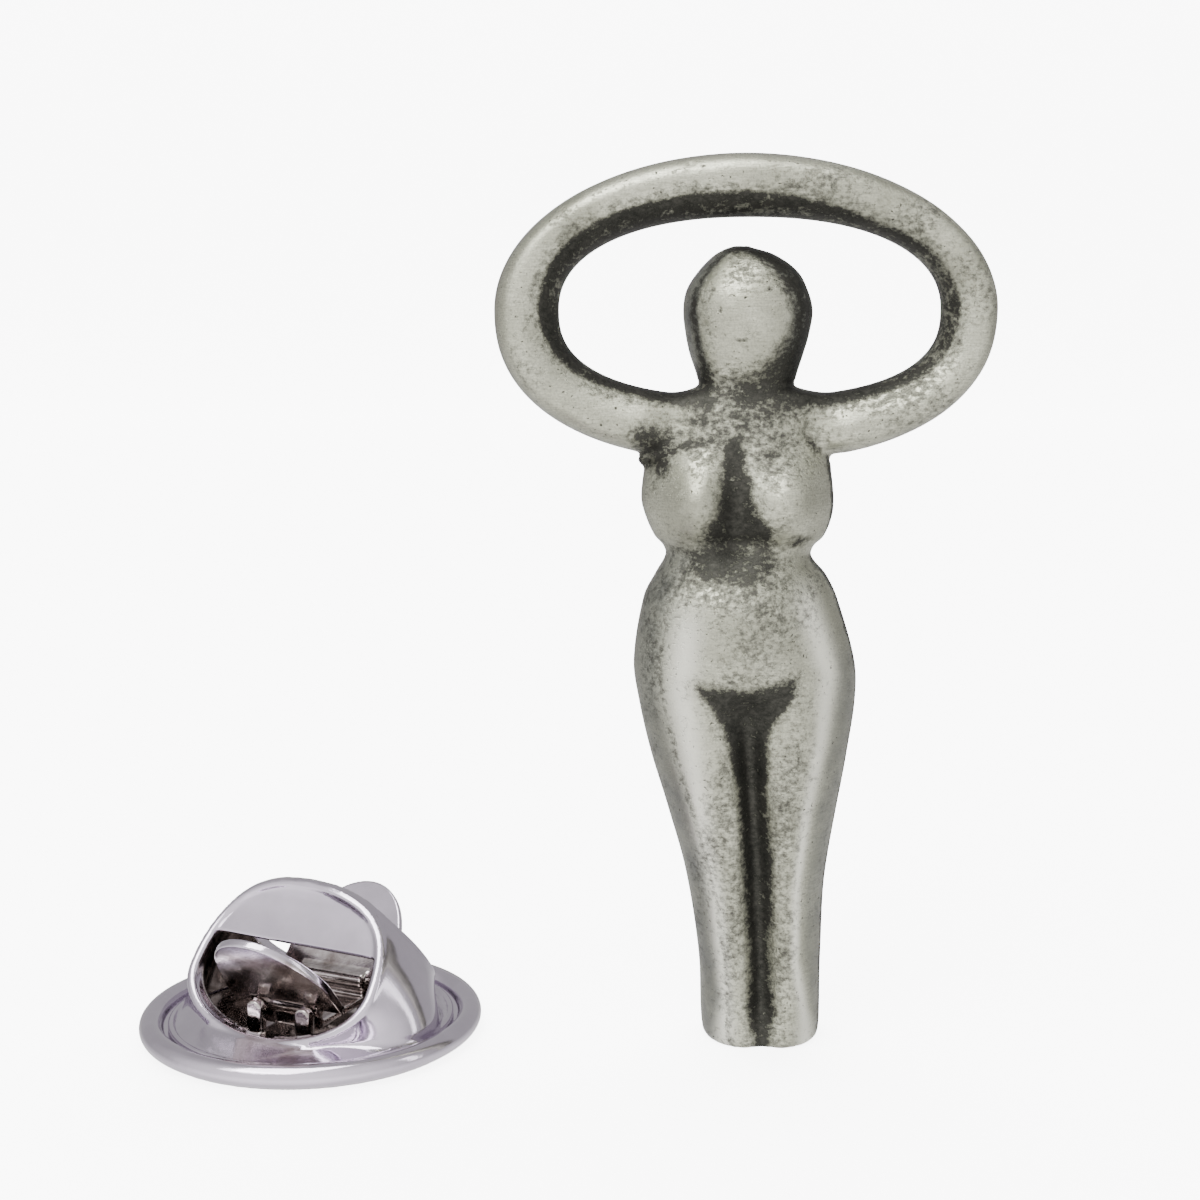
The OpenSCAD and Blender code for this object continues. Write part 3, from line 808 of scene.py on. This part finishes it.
def mouth_half(z, inward):
    """Half of a mouth's width at a height, drawn in from its rim."""
    above = z > MOUTH_Z
    span = np.where(above, COVER_H - MOUTH_Z - inward, MOUTH_Z - MOUTH_LOW - inward * math.cos(MOUTH_LEAN))
    power = np.where(above, MOUTH_FULL_ABOVE, MOUTH_FULL_BELOW)
    share = np.clip(1 - (np.abs(z - MOUTH_Z) / span) ** power, 0, 1)
    return (MOUTH_HALF_W - inward) * share ** (1 / power)


def mouth_out(z):
    """Distance of a mouth's face from the cover's axis at a height."""
    slope = CREST_BEND * np.log1p(np.exp((CREST_Z - z) / CREST_BEND)) * math.tan(MOUTH_LEAN)
    over = np.clip((z - CREST_ROUND_Z) / (COVER_H + PAST - CREST_ROUND_Z), 0, 1)
    return CREST_HALF_T * np.sqrt(1 - over**2) + slope


# Points along a mouth's bead. The distance from it is worked out near the mouth's face, and is far elsewhere.
BEAD_STATIONS = 240
BEAD_NEAR = 1.0
FAR = 9.0


def bead_line():
    """Points along the middle of one mouth's bead."""
    low = MOUTH_LOW + BEAD_R * math.cos(MOUTH_LEAN)
    angle = 2 * math.pi * (np.arange(BEAD_STATIONS) + 0.5) / BEAD_STATIONS
    z = low + (COVER_H - BEAD_R - low) * (1 - np.cos(angle)) / 2
    side = np.where(np.sin(angle) < 0, -1, 1)
    return np.stack([mouth_out(z) - BEAD_R / 2, side * mouth_half(z, BEAD_R), z], 1)


BEAD_LINE = bead_line()


def bead_distance(x, y, z):
    """Distance from the line of the near bead, for points on its side of the axis."""
    x, y, z = np.broadcast_arrays(np.abs(x), y, z)
    nearest = np.full(x.shape, FAR)
    ends = np.roll(BEAD_LINE, -1, axis=0)
    close = (np.abs(x - mouth_out(z)) < BEAD_NEAR) & (z < COVER_H + BEAD_NEAR)
    px, py, pz = x[close], y[close], z[close]
    best = np.full(px.shape, FAR)
    for a, b in zip(BEAD_LINE, ends):
        run = b - a
        t = ((px - a[0]) * run[0] + (py - a[1]) * run[1] + (pz - a[2]) * run[2]) / (run @ run)
        t = np.clip(t, 0, 1)
        gap = (px - a[0] - t * run[0]) ** 2 + (py - a[1] - t * run[1]) ** 2 + (pz - a[2] - t * run[2]) ** 2
        best = np.minimum(best, gap)
    nearest[close] = np.sqrt(best)
    return nearest


# The cover's foot ends in a round edge of this radius, a little low.
FOOT_BEAD_R = 0.11
FOOT_BEAD_LOW = 0.02
# Half the height over which the flank's slope is measured.
FLARE_STEP = 0.02
# Between a mouth's lower lip and the foot, the thin flare stands on a solid sill.
SILL_OUT = 3.3
SILL_H = 0.28
# The hollow's field is made less steep by this factor, and a mouth is cut this far to both sides of its face.
HOLLOW_SLOPE = 0.75
MOUTH_CUT = 1.0
BEAD_BLEND = 0.16
FOOT_BLEND = 0.06


def cover_field(x, y, z):
    """Below 0 inside the clutch's cover, in the clutch's own frame, with the near mouth towards +x."""
    angle = np.arctan2(y, x)
    reach = np.hypot(x, y)
    foot = FLANK[0, HEIGHT]
    slope = (cover_reach(z + FLARE_STEP, angle, 0) - cover_reach(z - FLARE_STEP, angle, 0)) / (2 * FLARE_STEP)
    outside = (reach - cover_reach(z, angle, 0)) / np.sqrt(1 + slope * slope)
    outside = np.maximum(outside, z - COVER_H)
    hollow = (reach - cover_reach(z, angle, COVER_T)) * HOLLOW_SLOPE
    hollow = np.maximum(hollow, z - (CREST_Z - HOLLOW_BELOW))
    half = mouth_half(z, 2 * BEAD_R)
    low = MOUTH_LOW + 2 * BEAD_R * math.cos(MOUTH_LEAN)
    near_face = np.abs(np.abs(x) - mouth_out(z)) - MOUTH_CUT
    opening = highest(np.abs(y) - half, near_face, low - z, z - HOOD_Z)
    sill = highest(outside, z - foot - SILL_H, SILL_OUT - np.abs(x))
    shell = np.minimum(highest(outside, -hollow, -opening), sill)
    bead = bead_distance(x, y, z) - BEAD_R
    bead_z = foot + FOOT_BEAD_R - FOOT_BEAD_LOW
    foot_bead = np.hypot(reach - FLANK[0, REACH] + FOOT_BEAD_R, z - bead_z) - FOOT_BEAD_R
    shell = smooth_min(smooth_min(shell, bead, BEAD_BLEND), foot_bead, FOOT_BLEND)
    return np.maximum(shell, foot - z)


# A leaf is dished from its root on, and every edge of a wing or the base is rounded.
LEAF_DISH = 0.10
DISH_FROM = (0.2, 1.5)
LEAF_LEAST_SLOPE = 0.3
EDGE_R = 0.10
WIDE_BLEND = 0.2
NARROW_BLEND = 0.1


def leaf_edge(along, across):
    """About the distance outside the outline of a wing's leaf, widest at its root and rounded to its tip."""
    a = np.maximum(along, 0) / WING_LENGTH + 1e-6
    b = np.abs(across) / LEAF_HALF_W + 1e-6
    level = a**LEAF_FULL + b**2 - 1
    slope = np.hypot(LEAF_FULL * a ** (LEAF_FULL - 1) / WING_LENGTH, 2 * b / LEAF_HALF_W)
    return level / np.maximum(slope, LEAF_LEAST_SLOPE)


def leaf_place(x, z, rise):
    """Place along a wing's leaf from its pivot, and height above the leaf's middle plane."""
    out = x - PIVOT_OUT
    up = z - PIVOT_Z
    return out * math.cos(rise) + up * math.sin(rise), up * math.cos(rise) - out * math.sin(rise)


def slab(*faces):
    """The part behind all the given faces, with its edges rounded."""
    solid = faces[0]
    for face in faces[1:]:
        solid = -smooth_min(-solid, -face, EDGE_R)
    return solid


def wing_field(rise):
    def field(x, y, z):
        """Below 0 inside one wing, in the clutch's own frame, with the wing towards +x."""
        along, lift = leaf_place(x, z, rise)
        dish = LEAF_DISH * (y / LEAF_HALF_W) ** 2 * fade(*DISH_FROM, along)
        leaf = slab(np.abs(lift - dish) - WING_T / 2, leaf_edge(along, y), -along)
        side = np.abs(y) - WING_W / 2
        elbow = slab(np.hypot(x - PIVOT_OUT, z - PIVOT_Z) - ELBOW_R, side)
        jaw_low = JAW_Z - WING_T / 2
        link = slab(np.abs(x - PIVOT_OUT) - WING_T / 2, side, jaw_low - z, z - PIVOT_Z)
        jaw = slab(np.abs(z - JAW_Z) - WING_T / 2, side, JAW_GAP / 2 - x, x - PIVOT_OUT)
        notch = JAW_R - np.hypot(x, y)
        lower = smooth_min(link, jaw, NARROW_BLEND)
        bent = smooth_min(smooth_min(leaf, elbow, WIDE_BLEND), lower, NARROW_BLEND)
        return np.maximum(bent, np.where(z < PIVOT_Z, notch, -1.0))

    return field


def base_field(x, y, z):
    """Below 0 inside the clutch's base: its plate with a hole, its rolled rim and four lugs."""
    reach = np.hypot(x, y)
    roll_at = CLUTCH_D / 2 - ROLL_R
    plate = slab(np.abs(z - PLATE_T / 2) - PLATE_T / 2, reach - roll_at)
    roll = np.hypot(reach - roll_at, z - ROLL_R - ROLL_LIFT) - ROLL_R
    lug_at = PIVOT_OUT + ELBOW_R + RUNNING_GAP + LUG_T / 2
    beside = np.abs(y) - (WING_W - LUG_W) / 2
    top = LUG_TOP - LUG_W / 2
    side = np.where(z > top, np.hypot(beside, z - top), np.abs(beside)) - LUG_W / 2
    lug = slab(np.abs(np.abs(x) - lug_at) - LUG_T / 2, side, -z)
    solid = smooth_min(smooth_min(plate, roll, WIDE_BLEND), lug, NARROW_BLEND)
    return np.maximum(solid, CLUTCH_HOLE_D / 2 - reach)


def lathe(profile, steps):
    """Points and quads of a profile of radius and height turned about the upright axis, closed on itself."""
    angles = 2 * math.pi * np.arange(steps) / steps
    count = len(profile)
    points = [(r * math.cos(a), r * math.sin(a), z) for a in angles for r, z in profile]
    faces = []
    for i in range(steps):
        j = (i + 1) % steps
        for k in range(count):
            n = (k + 1) % count
            faces.append((i * count + k, j * count + k, j * count + n, i * count + n))
    return points, faces


class Nodes:
    """The shader nodes of one material or world."""

    def __init__(self, owner):
        owner.use_nodes = True
        self.nodes = owner.node_tree.nodes
        self.links = owner.node_tree.links

    def put(self, value, socket):
        """Gives a socket a colour, a number or another node's output."""
        if isinstance(value, tuple):
            socket.default_value = (*value, 1)
        elif isinstance(value, (int, float)):
            socket.default_value = value
        else:
            self.links.new(value, socket)

    def add(self, kind, inputs, output=0, **settings):
        """The output of a new node with those inputs and settings."""
        made = self.nodes.new("ShaderNode" + kind)
        for setting, value in settings.items():
            setattr(made, setting, value)
        for socket, value in inputs.items():
            self.put(value, made.inputs[socket])
        return made.outputs[output]

    def shade(self, inputs):
        """Gives the material's shader its inputs."""
        for socket, value in inputs.items():
            self.put(value, self.nodes["Principled BSDF"].inputs[socket])

    def noise(self, stretch, scale, detail, roughness):
        """A noise on the object's own coordinates, stretched by a scale for each axis."""
        mapping = self.nodes.new("ShaderNodeMapping")
        mapping.inputs["Scale"].default_value = stretch
        self.put(self.add("TexCoord", {}, "Object"), mapping.inputs["Vector"])
        inputs = {"Vector": mapping.outputs[0], "Scale": scale, "Detail": detail, "Roughness": roughness}
        return self.add("TexNoise", inputs, "Fac")

    def math(self, operation, *values):
        return self.add("Math", dict(enumerate(values)), operation=operation)

    def spread(self, *row):
        """A value spread from one range to another, and held inside it."""
        inputs = dict(zip(("Value", "From Min", "From Max", "To Min", "To Max"), row))
        return self.add("MapRange", inputs, "Result")

    def mix(self, factor, a, b):
        return self.add("Mix", {0: factor, 6: a, 7: b}, 2, data_type="RGBA")

    def attribute(self, name):
        return self.add("Attribute", {}, "Fac", attribute_name=name)

    def bump(self, height, distance, strength):
        return self.add("Bump", {"Height": height, "Distance": distance, "Strength": strength}, "Normal")

    def ramp(self, factor, stops):
        made = self.nodes.new("ShaderNodeValToRGB")
        for element, (position, colour) in zip(made.color_ramp.elements, stops):
            element.position = position
            element.color = (*colour, 1)
        self.put(factor, made.inputs["Fac"])
        return made.outputs["Color"]


# Noises: stretch, scale, detail and roughness.
FINE = [(1, 1, 1.3), 4600, 6, 0.72]
COARSE = [(1, 1, 1), 1100, 4, 0.6]
CLOUDY = [(1, 1, 1), 420, 5, 0.6]
BRUSH = [(1, 1, 9), 2400, 4, 0.6]
GRAIN = [(1, 1, 1), 15000, 3, 0.6]
PITS = [(1, 1, 1), 7500, 1, 0.6]
HAZE = [(1, 1, 1), 700, 4, 0.6]
INNER_SHADE_NOISE = [(1, 1, 1), 1500, 4, 0.6]
SCRATCHES = [(1, 6, 2), 3000, 3, 0.6]
TURNED = [(1, 30, 1), 900, 3, 0.6]
# Swing of the coat's edge with the fine and coarse noise, and what specks and waves add to a spot.
RAGGED = 1.9
WAVY = 0.7
SPOT_SPECKLE = 0.22
SPOT_WAVY = 0.45
# Spreads of a value: from low and high, to low and high.
COAT_SPREAD = (0.26, 0.84, 0, 1)
SPOT_SPREAD = (0.57, 0.84, 0, 0.9)
PIT_SPREAD = (0.70, 0.78, 0, 0.85)
BRUSH_SPREAD = (0.40, 0.62, 0, 0.50)
GRAIN_SPREAD = (0.42, 0.64, 0, 0.45)
MOTTLE_SPREAD = (0.44, 0.70, 0, 0.75)
PAINTED_SHADE_SPREAD = (0.3, 0.7, 0.5, 1.0)
PAINTED_HIGHLIGHT_SHARE = 0.85
PEWTER_ROUGH = (0, 1, 0.40, 0.58)
BRUSH_ROUGH = (0.3, 0.7, -0.05, 0.06)
NICKEL_ROUGH = (0.3, 0.7, 0.09, 0.17)
STEEL_ROUGH = (0.3, 0.7, 0.18, 0.28)
# Bumps: distance in metres and strength. Brush lines, grains and clouds share the pewter's.
PEWTER_BUMP = (0.000025, 0.9)
SCRATCH_BUMP = (0.000003, 0.5)
LINE_HEIGHT = 0.3
GRAIN_HEIGHT = 0.4
CLOUD_HEIGHT = 1.5
# Colours of the pewter, its coat, its painted shade and its painted highlight, of bright nickel and its
# painted shade inside the clutch, and of the post's steel.
CLOUDS = [(0.36, (0.385, 0.39, 0.30)), (0.60, (0.585, 0.592, 0.47))]
BRUSHED = (0.31, 0.313, 0.245)
GRAINY = (0.22, 0.22, 0.17)
MOTTLED = (0.12, 0.12, 0.10)
PAINTED_SHADE_COLOUR = (0.17, 0.175, 0.16)
PAINTED_HIGHLIGHT = (0.90, 0.90, 0.78)
COAT = [(0.35, (0.020, 0.021, 0.018)), (0.66, (0.070, 0.069, 0.059))]
BRIGHT = [(0.3, (0.59, 0.54, 0.615)), (0.7, (0.66, 0.605, 0.69))]
# Painted brown shade for the inside of the clutch.
INNER_SHADE_COLOURS = [(0.35, (0.24, 0.20, 0.185)), (0.65, (0.56, 0.52, 0.51))]
STEELY = [(0.3, (0.56, 0.55, 0.54)), (0.7, (0.68, 0.67, 0.66))]


def pewter_dark(tree, fine, coarse, pits):
    """Where the pewter is dark: a coat of patina and painted shade with a ragged edge, the spots round it,
    and pits.
    """
    wavy = tree.math("MULTIPLY_ADD", coarse, WAVY, -WAVY / 2)
    ragged = tree.math("MULTIPLY_ADD", fine, RAGGED, -RAGGED / 2)
    coat = tree.math("ADD", tree.math("ADD", tree.attribute("patina_and_shade"), ragged), wavy)
    spots = tree.math("MULTIPLY_ADD", tree.attribute("speckle"), SPOT_SPECKLE, fine)
    spots = tree.math("MULTIPLY_ADD", wavy, SPOT_WAVY, spots)
    dark = tree.math("MAXIMUM", tree.spread(coat, *COAT_SPREAD), tree.spread(spots, *SPOT_SPREAD))
    return tree.math("MAXIMUM", dark, tree.spread(pits, *PIT_SPREAD))


def pewter_metal(tree, fine, coarse, cloudy, lines, grains):
    """The bare pewter's colour: cloudy, brushed, grainy, mottled, with painted shade in places and painted
    highlights in others.
    """
    colour = tree.mix(tree.spread(lines, *BRUSH_SPREAD), tree.ramp(cloudy, CLOUDS), BRUSHED)
    colour = tree.mix(tree.spread(grains, *GRAIN_SPREAD), colour, GRAINY)
    mottle = tree.math("MULTIPLY", tree.spread(fine, *MOTTLE_SPREAD), tree.attribute("speckle"))
    colour = tree.mix(mottle, colour, MOTTLED)
    # Painted shade, a grey laid where the forms turn away from the light.
    painted_shade = tree.math("MULTIPLY", tree.attribute("painted_shade"), tree.spread(coarse, *PAINTED_SHADE_SPREAD))
    colour = tree.mix(painted_shade, colour, PAINTED_SHADE_COLOUR)
    # A painted highlight on the legs' ridges.
    return tree.mix(tree.math("MULTIPLY", tree.attribute("painted_highlight"), PAINTED_HIGHLIGHT_SHARE), colour, PAINTED_HIGHLIGHT)


def antique_pewter():
    """Satin pewter, finely brushed, with a dark coat left in its recesses and worn to spots round them, and
    painted shade and highlights.
    """
    made = bpy.data.materials.new("antique_pewter")
    tree = Nodes(made)
    fine = tree.noise(*FINE)
    coarse = tree.noise(*COARSE)
    cloudy = tree.noise(*CLOUDY)
    lines = tree.noise(*BRUSH)
    grains = tree.noise(*GRAIN)
    dark = pewter_dark(tree, fine, coarse, tree.noise(*PITS))
    metal = pewter_metal(tree, fine, coarse, cloudy, lines, grains)
    height = tree.math("SUBTRACT", tree.math("MULTIPLY", lines, LINE_HEIGHT), dark)
    height = tree.math("MULTIPLY_ADD", grains, GRAIN_HEIGHT, height)
    height = tree.math("MULTIPLY_ADD", cloudy, CLOUD_HEIGHT, height)
    tree.shade({
        "Base Color": tree.mix(dark, metal, tree.ramp(fine, COAT)),
        "Metallic": 1.0,
        "Roughness": tree.math("ADD", tree.spread(dark, *PEWTER_ROUGH), tree.spread(lines, *BRUSH_ROUGH)),
        "Normal": tree.bump(height, *PEWTER_BUMP),
    })
    return made


def bright_nickel():
    """Bright plated nickel with a faint haze and fine scratches, and a painted brown shade inside the clutch.
    """
    made = bpy.data.materials.new("bright_nickel")
    tree = Nodes(made)
    haze = tree.noise(*HAZE)
    inner_shade_colour = tree.ramp(tree.noise(*INNER_SHADE_NOISE), INNER_SHADE_COLOURS)
    tree.shade({
        "Base Color": tree.mix(tree.attribute("inner_shade"), tree.ramp(haze, BRIGHT), inner_shade_colour),
        "Metallic": 1.0,
        "Roughness": tree.spread(haze, *NICKEL_ROUGH),
        "Normal": tree.bump(tree.noise(*SCRATCHES), *SCRATCH_BUMP),
    })
    return made


def plated_steel():
    """Bright plated steel with a fine turned grain."""
    made = bpy.data.materials.new("plated_steel")
    tree = Nodes(made)
    turned = tree.noise(*TURNED)
    rough = tree.spread(turned, *STEEL_ROUGH)
    tree.shade({"Base Color": tree.ramp(turned, STEELY), "Metallic": 1.0, "Roughness": rough})
    return made


PEWTER = antique_pewter()
NICKEL = bright_nickel()
STEEL = plated_steel()


def finished(made, body, material, node):
    """Gives a piece its material and body, and hides the node that it stands in for."""
    made.data.materials.clear()
    made.data.materials.append(material)
    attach(made, body)
    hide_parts(node)


# Step of each piece's grid of cells.
CASTING_STEP = 0.1
COVER_STEP = 0.07
BASE_STEP = 0.08
WING_STEP = 0.05
# Where the painted shade inside the clutch begins and is full: past the cover's inner wall, in from the
# base's rim, down a leaf to its root, and under a leaf. It ends a little over the hollow's ceiling.
COVER_SHADE = (-0.12, -0.03)
OVER_CEILING = 0.1
BASE_SHADE = (4.75, 4.4)
ROOT_SHADE = (1.6, 0.6)
UNDER_SHADE = (3.5, 2.8)
UNDER_SIDE = (0.05, -0.05)


def clutch_piece(name, field, low, high, step, turn):
    """A piece of the clutch from its field, and its points in the clutch's own frame."""
    points, quads, _ = net_of(field, low, high, step)
    return mesh_object(name, points, quads, CLUTCH_AT, turn), points


def make_casting():
    low = figure_low - FIGURE_AT
    high = figure_high - FIGURE_AT
    points, quads, directions = net_of(casting_field, low, high, CASTING_STEP)
    made = mesh_object("figure_casting", points, quads, FIGURE_AT)
    for name, values in zip(("patina_and_shade", "speckle", "painted_shade", "painted_highlight"), casting_patina_and_shade(points, directions)):
        store(made, name, values)
    finished(made, "pin", PEWTER, "cast_figure")


def make_cover():
    reach = FLANK[0, REACH]
    low, high = (-reach, -reach, FLANK[0, HEIGHT]), (reach, reach, COVER_H + BEAD_R)
    made, points = clutch_piece("clutch_cover", cover_field, low, high, COVER_STEP, CLUTCH_TURN)
    x, y, z = points.T
    within = cover_reach(z, np.arctan2(y, x), COVER_T) - np.hypot(x, y)
    below = z < CREST_Z - HOLLOW_BELOW + OVER_CEILING
    # Painted shade on the cover's inner wall, under its hollow's ceiling.
    store(made, "inner_shade", fade(*COVER_SHADE, within) * below)
    finished(made, "pin", NICKEL, "clutch_shell")


def make_base():
    reach = CLUTCH_D / 2
    low, high = (-reach, -reach, 0.0), (reach, reach, LUG_TOP)
    made, points = clutch_piece("clutch_plate", base_field, low, high, BASE_STEP, CLUTCH_TURN + WING_TURN)
    # Painted shade on the plate inside the cover.
    store(made, "inner_shade", fade(*BASE_SHADE, np.hypot(points[:, 0], points[:, 1])))
    finished(made, "pin", NICKEL, "clutch_base")


def make_wing(name, body, node, rise, turn):
    tip_x = PIVOT_OUT + math.cos(rise) * WING_LENGTH
    tip_z = PIVOT_Z + math.sin(rise) * WING_LENGTH
    low, high = (0.0, -LEAF_HALF_W, JAW_Z - WING_T), (tip_x + WING_T, LEAF_HALF_W, tip_z + WING_T)
    made, points = clutch_piece(name, wing_field(rise), low, high, WING_STEP, turn)
    along, lift = leaf_place(points[:, 0], points[:, 2], rise)
    # Painted shade on a leaf's root and its underside.
    under = fade(*UNDER_SIDE, lift) * fade(*UNDER_SHADE, along)
    store(made, "inner_shade", np.maximum(fade(*ROOT_SHADE, along), under))
    finished(made, body, NICKEL, node)


# The post: its radius, and radius and distance from the tip of each place on its point.
POST_R = 0.6
POINT = [(POST_R, 1.1), (0.558, 0.935), (0.04, 0.02), (0.0, 0.0)]
POST_STEPS = 64
# Its solder pad: distance in from the pad's edge and height of each place on its dome, and the fillet.
PAD_T = 0.35
PAD_DOME = [(0.0, 0.0), (0.0, 0.08), (0.25, 0.27), (0.55, PAD_T)]
FILLET_R = 0.15
FILLET = [math.radians(a) for a in (0, 30, 60, 90)]


def make_post():
    """The post on its solder pad, turned to leave the flat back squarely."""
    low, high = (np.array(corner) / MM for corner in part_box("tack_post"))
    pad_r = (high[0] - low[0]) / 2
    length = high[1] - low[1]
    profile = [(0.0, 0.0)]
    profile += [(pad_r - inward, z) for inward, z in PAD_DOME]
    profile += [(POST_R + FILLET_R * (1 - math.sin(a)), PAD_T + FILLET_R * (1 - math.cos(a))) for a in FILLET]
    profile += [(r, length - away) for r, away in POINT]
    points, faces = lathe(profile, POST_STEPS)
    x, y, z = np.array(points).T
    middle = [(low[0] + high[0]) / 2, low[1], (low[2] + high[2]) / 2]
    made = mesh_object("post", np.stack([x, z, -y], 1), faces, middle)
    finished(made, "pin", STEEL, "tack_post")


make_casting()
make_cover()
make_base()
make_wing("wing_front", "wing_front", "clutch_wing_front", FRONT_RISE, CLUTCH_TURN + WING_TURN)
make_wing("wing_back", "wing_back", "clutch_wing_back", BACK_RISE, CLUTCH_TURN + WING_TURN + math.pi)
make_post()


# The stage, in millimetres: a pale floor that bends up into a backdrop.
FLOOR_HALF_W = 1200
FLOOR_FRONT = -1000
BEND_AT = 500
BEND_R = 300
BEND_STEPS = 16
BACKDROP_TOP = 1600
PAPER = {"Base Color": (0.9, 0.9, 0.9), "Roughness": 0.8}
PAPER_GLOW = {"Emission Color": (1, 1, 1), "Emission Strength": 6.0}


def paper():
    made = bpy.data.materials.new("white_paper")
    Nodes(made).shade({**PAPER, **PAPER_GLOW})
    return made


def make_floor():
    """A floor that bends up behind the object, and that the metal doesn't reflect."""
    line = [(FLOOR_FRONT, 0.0), (BEND_AT, 0.0)]
    for i in range(1, BEND_STEPS + 1):
        a = math.pi / 2 * i / BEND_STEPS
        line.append((BEND_AT + BEND_R * math.sin(a), BEND_R * (1 - math.cos(a))))
    line.append((BEND_AT + BEND_R, BACKDROP_TOP))
    points = [(side * FLOOR_HALF_W, y, z) for y, z in line for side in (-1, 1)]
    faces = [(2 * i, 2 * i + 1, 2 * i + 3, 2 * i + 2) for i in range(len(line) - 1)]
    made = mesh_object("floor", points, faces, (0, 0, 0))
    made.data.materials.append(paper())
    made.visible_glossy = False


# Lights, in metres: place, the point that each looks at, width, height, and power in watts.
LIGHTS = {
    "key": [(-0.24, -0.26, 0.34), (0, 0, 0.014), 0.26, 0.20, 0.45],
    "side": [(0.40, -0.10, 0.12), (0, 0, 0.014), 0.06, 0.30, 0.15],
    "top": [(-0.09, -0.14, 0.40), (-0.008, 0, 0), 0.28, 0.42, 2.60],
}


def area_light(name, place, aim, width, height, watts):
    light = bpy.data.lights.new(name, "AREA")
    light.shape = "RECTANGLE"
    light.size = width
    light.size_y = height
    light.energy = watts
    made = in_scene(name, light)
    made.location = place
    made.rotation_euler = (Vector(aim) - Vector(place)).to_track_quat("-Z", "Y").to_euler()


# The camera looks at this point, tilted down, from this far in front of it, in millimetres.
AIM = FIGURE_AT + [-4.624, -1.0, 14.645]
CAMERA_TILT = math.radians(8)
CAMERA_AWAY = 60.0
LENS = 55.35
SENSOR = 36
CLIP = (0.005, 20)


def make_camera():
    camera = bpy.data.cameras.new("camera")
    camera.lens = LENS
    camera.sensor_width = SENSOR
    camera.clip_start, camera.clip_end = CLIP
    made = in_scene("camera", camera)
    forward = np.array([0, math.cos(CAMERA_TILT), -math.sin(CAMERA_TILT)])
    made.location = Vector((AIM - CAMERA_AWAY * forward) * MM)
    made.rotation_euler = (math.pi / 2 - CAMERA_TILT, 0, 0)
    bpy.context.scene.camera = made


# The room is brightest towards this direction, and glows from below. The spreads are of strength.
BRIGHTEST = (-0.17, -0.80, 0.14)
ROOM_SPREAD = (-0.25, 0.35, 0.55, 0.90)
BRIGHT_SPREAD = (0.10, 0.82, 0, 0.90)
GLOW_SPREAD = (-0.05, -0.50, 0.0, 0.70)
ROOM_COLOUR = (1.0, 0.985, 1.0)


def make_room():
    """A soft room, brightest in front and upper left, with a pale glow from the floor."""
    world = bpy.data.worlds.new("room")
    bpy.context.scene.world = world
    tree = Nodes(world)
    parts = tree.nodes.new("ShaderNodeSeparateXYZ")
    tree.put(tree.add("TexCoord", {}, "Generated"), parts.inputs[0])
    x, y, z = parts.outputs
    towards = tree.math("MULTIPLY", y, BRIGHTEST[1])
    towards = tree.math("MULTIPLY_ADD", x, BRIGHTEST[0], towards)
    towards = tree.math("MULTIPLY_ADD", z, BRIGHTEST[2], towards)
    sky = tree.math("ADD", tree.spread(towards, *ROOM_SPREAD), tree.spread(towards, *BRIGHT_SPREAD))
    background = tree.nodes["Background"].inputs
    tree.put(tree.math("ADD", sky, tree.spread(z, *GLOW_SPREAD)), background["Strength"])
    tree.put(ROOM_COLOUR, background["Color"])


make_floor()
make_room()
for name, row in LIGHTS.items():
    area_light(name, *row)
make_camera()
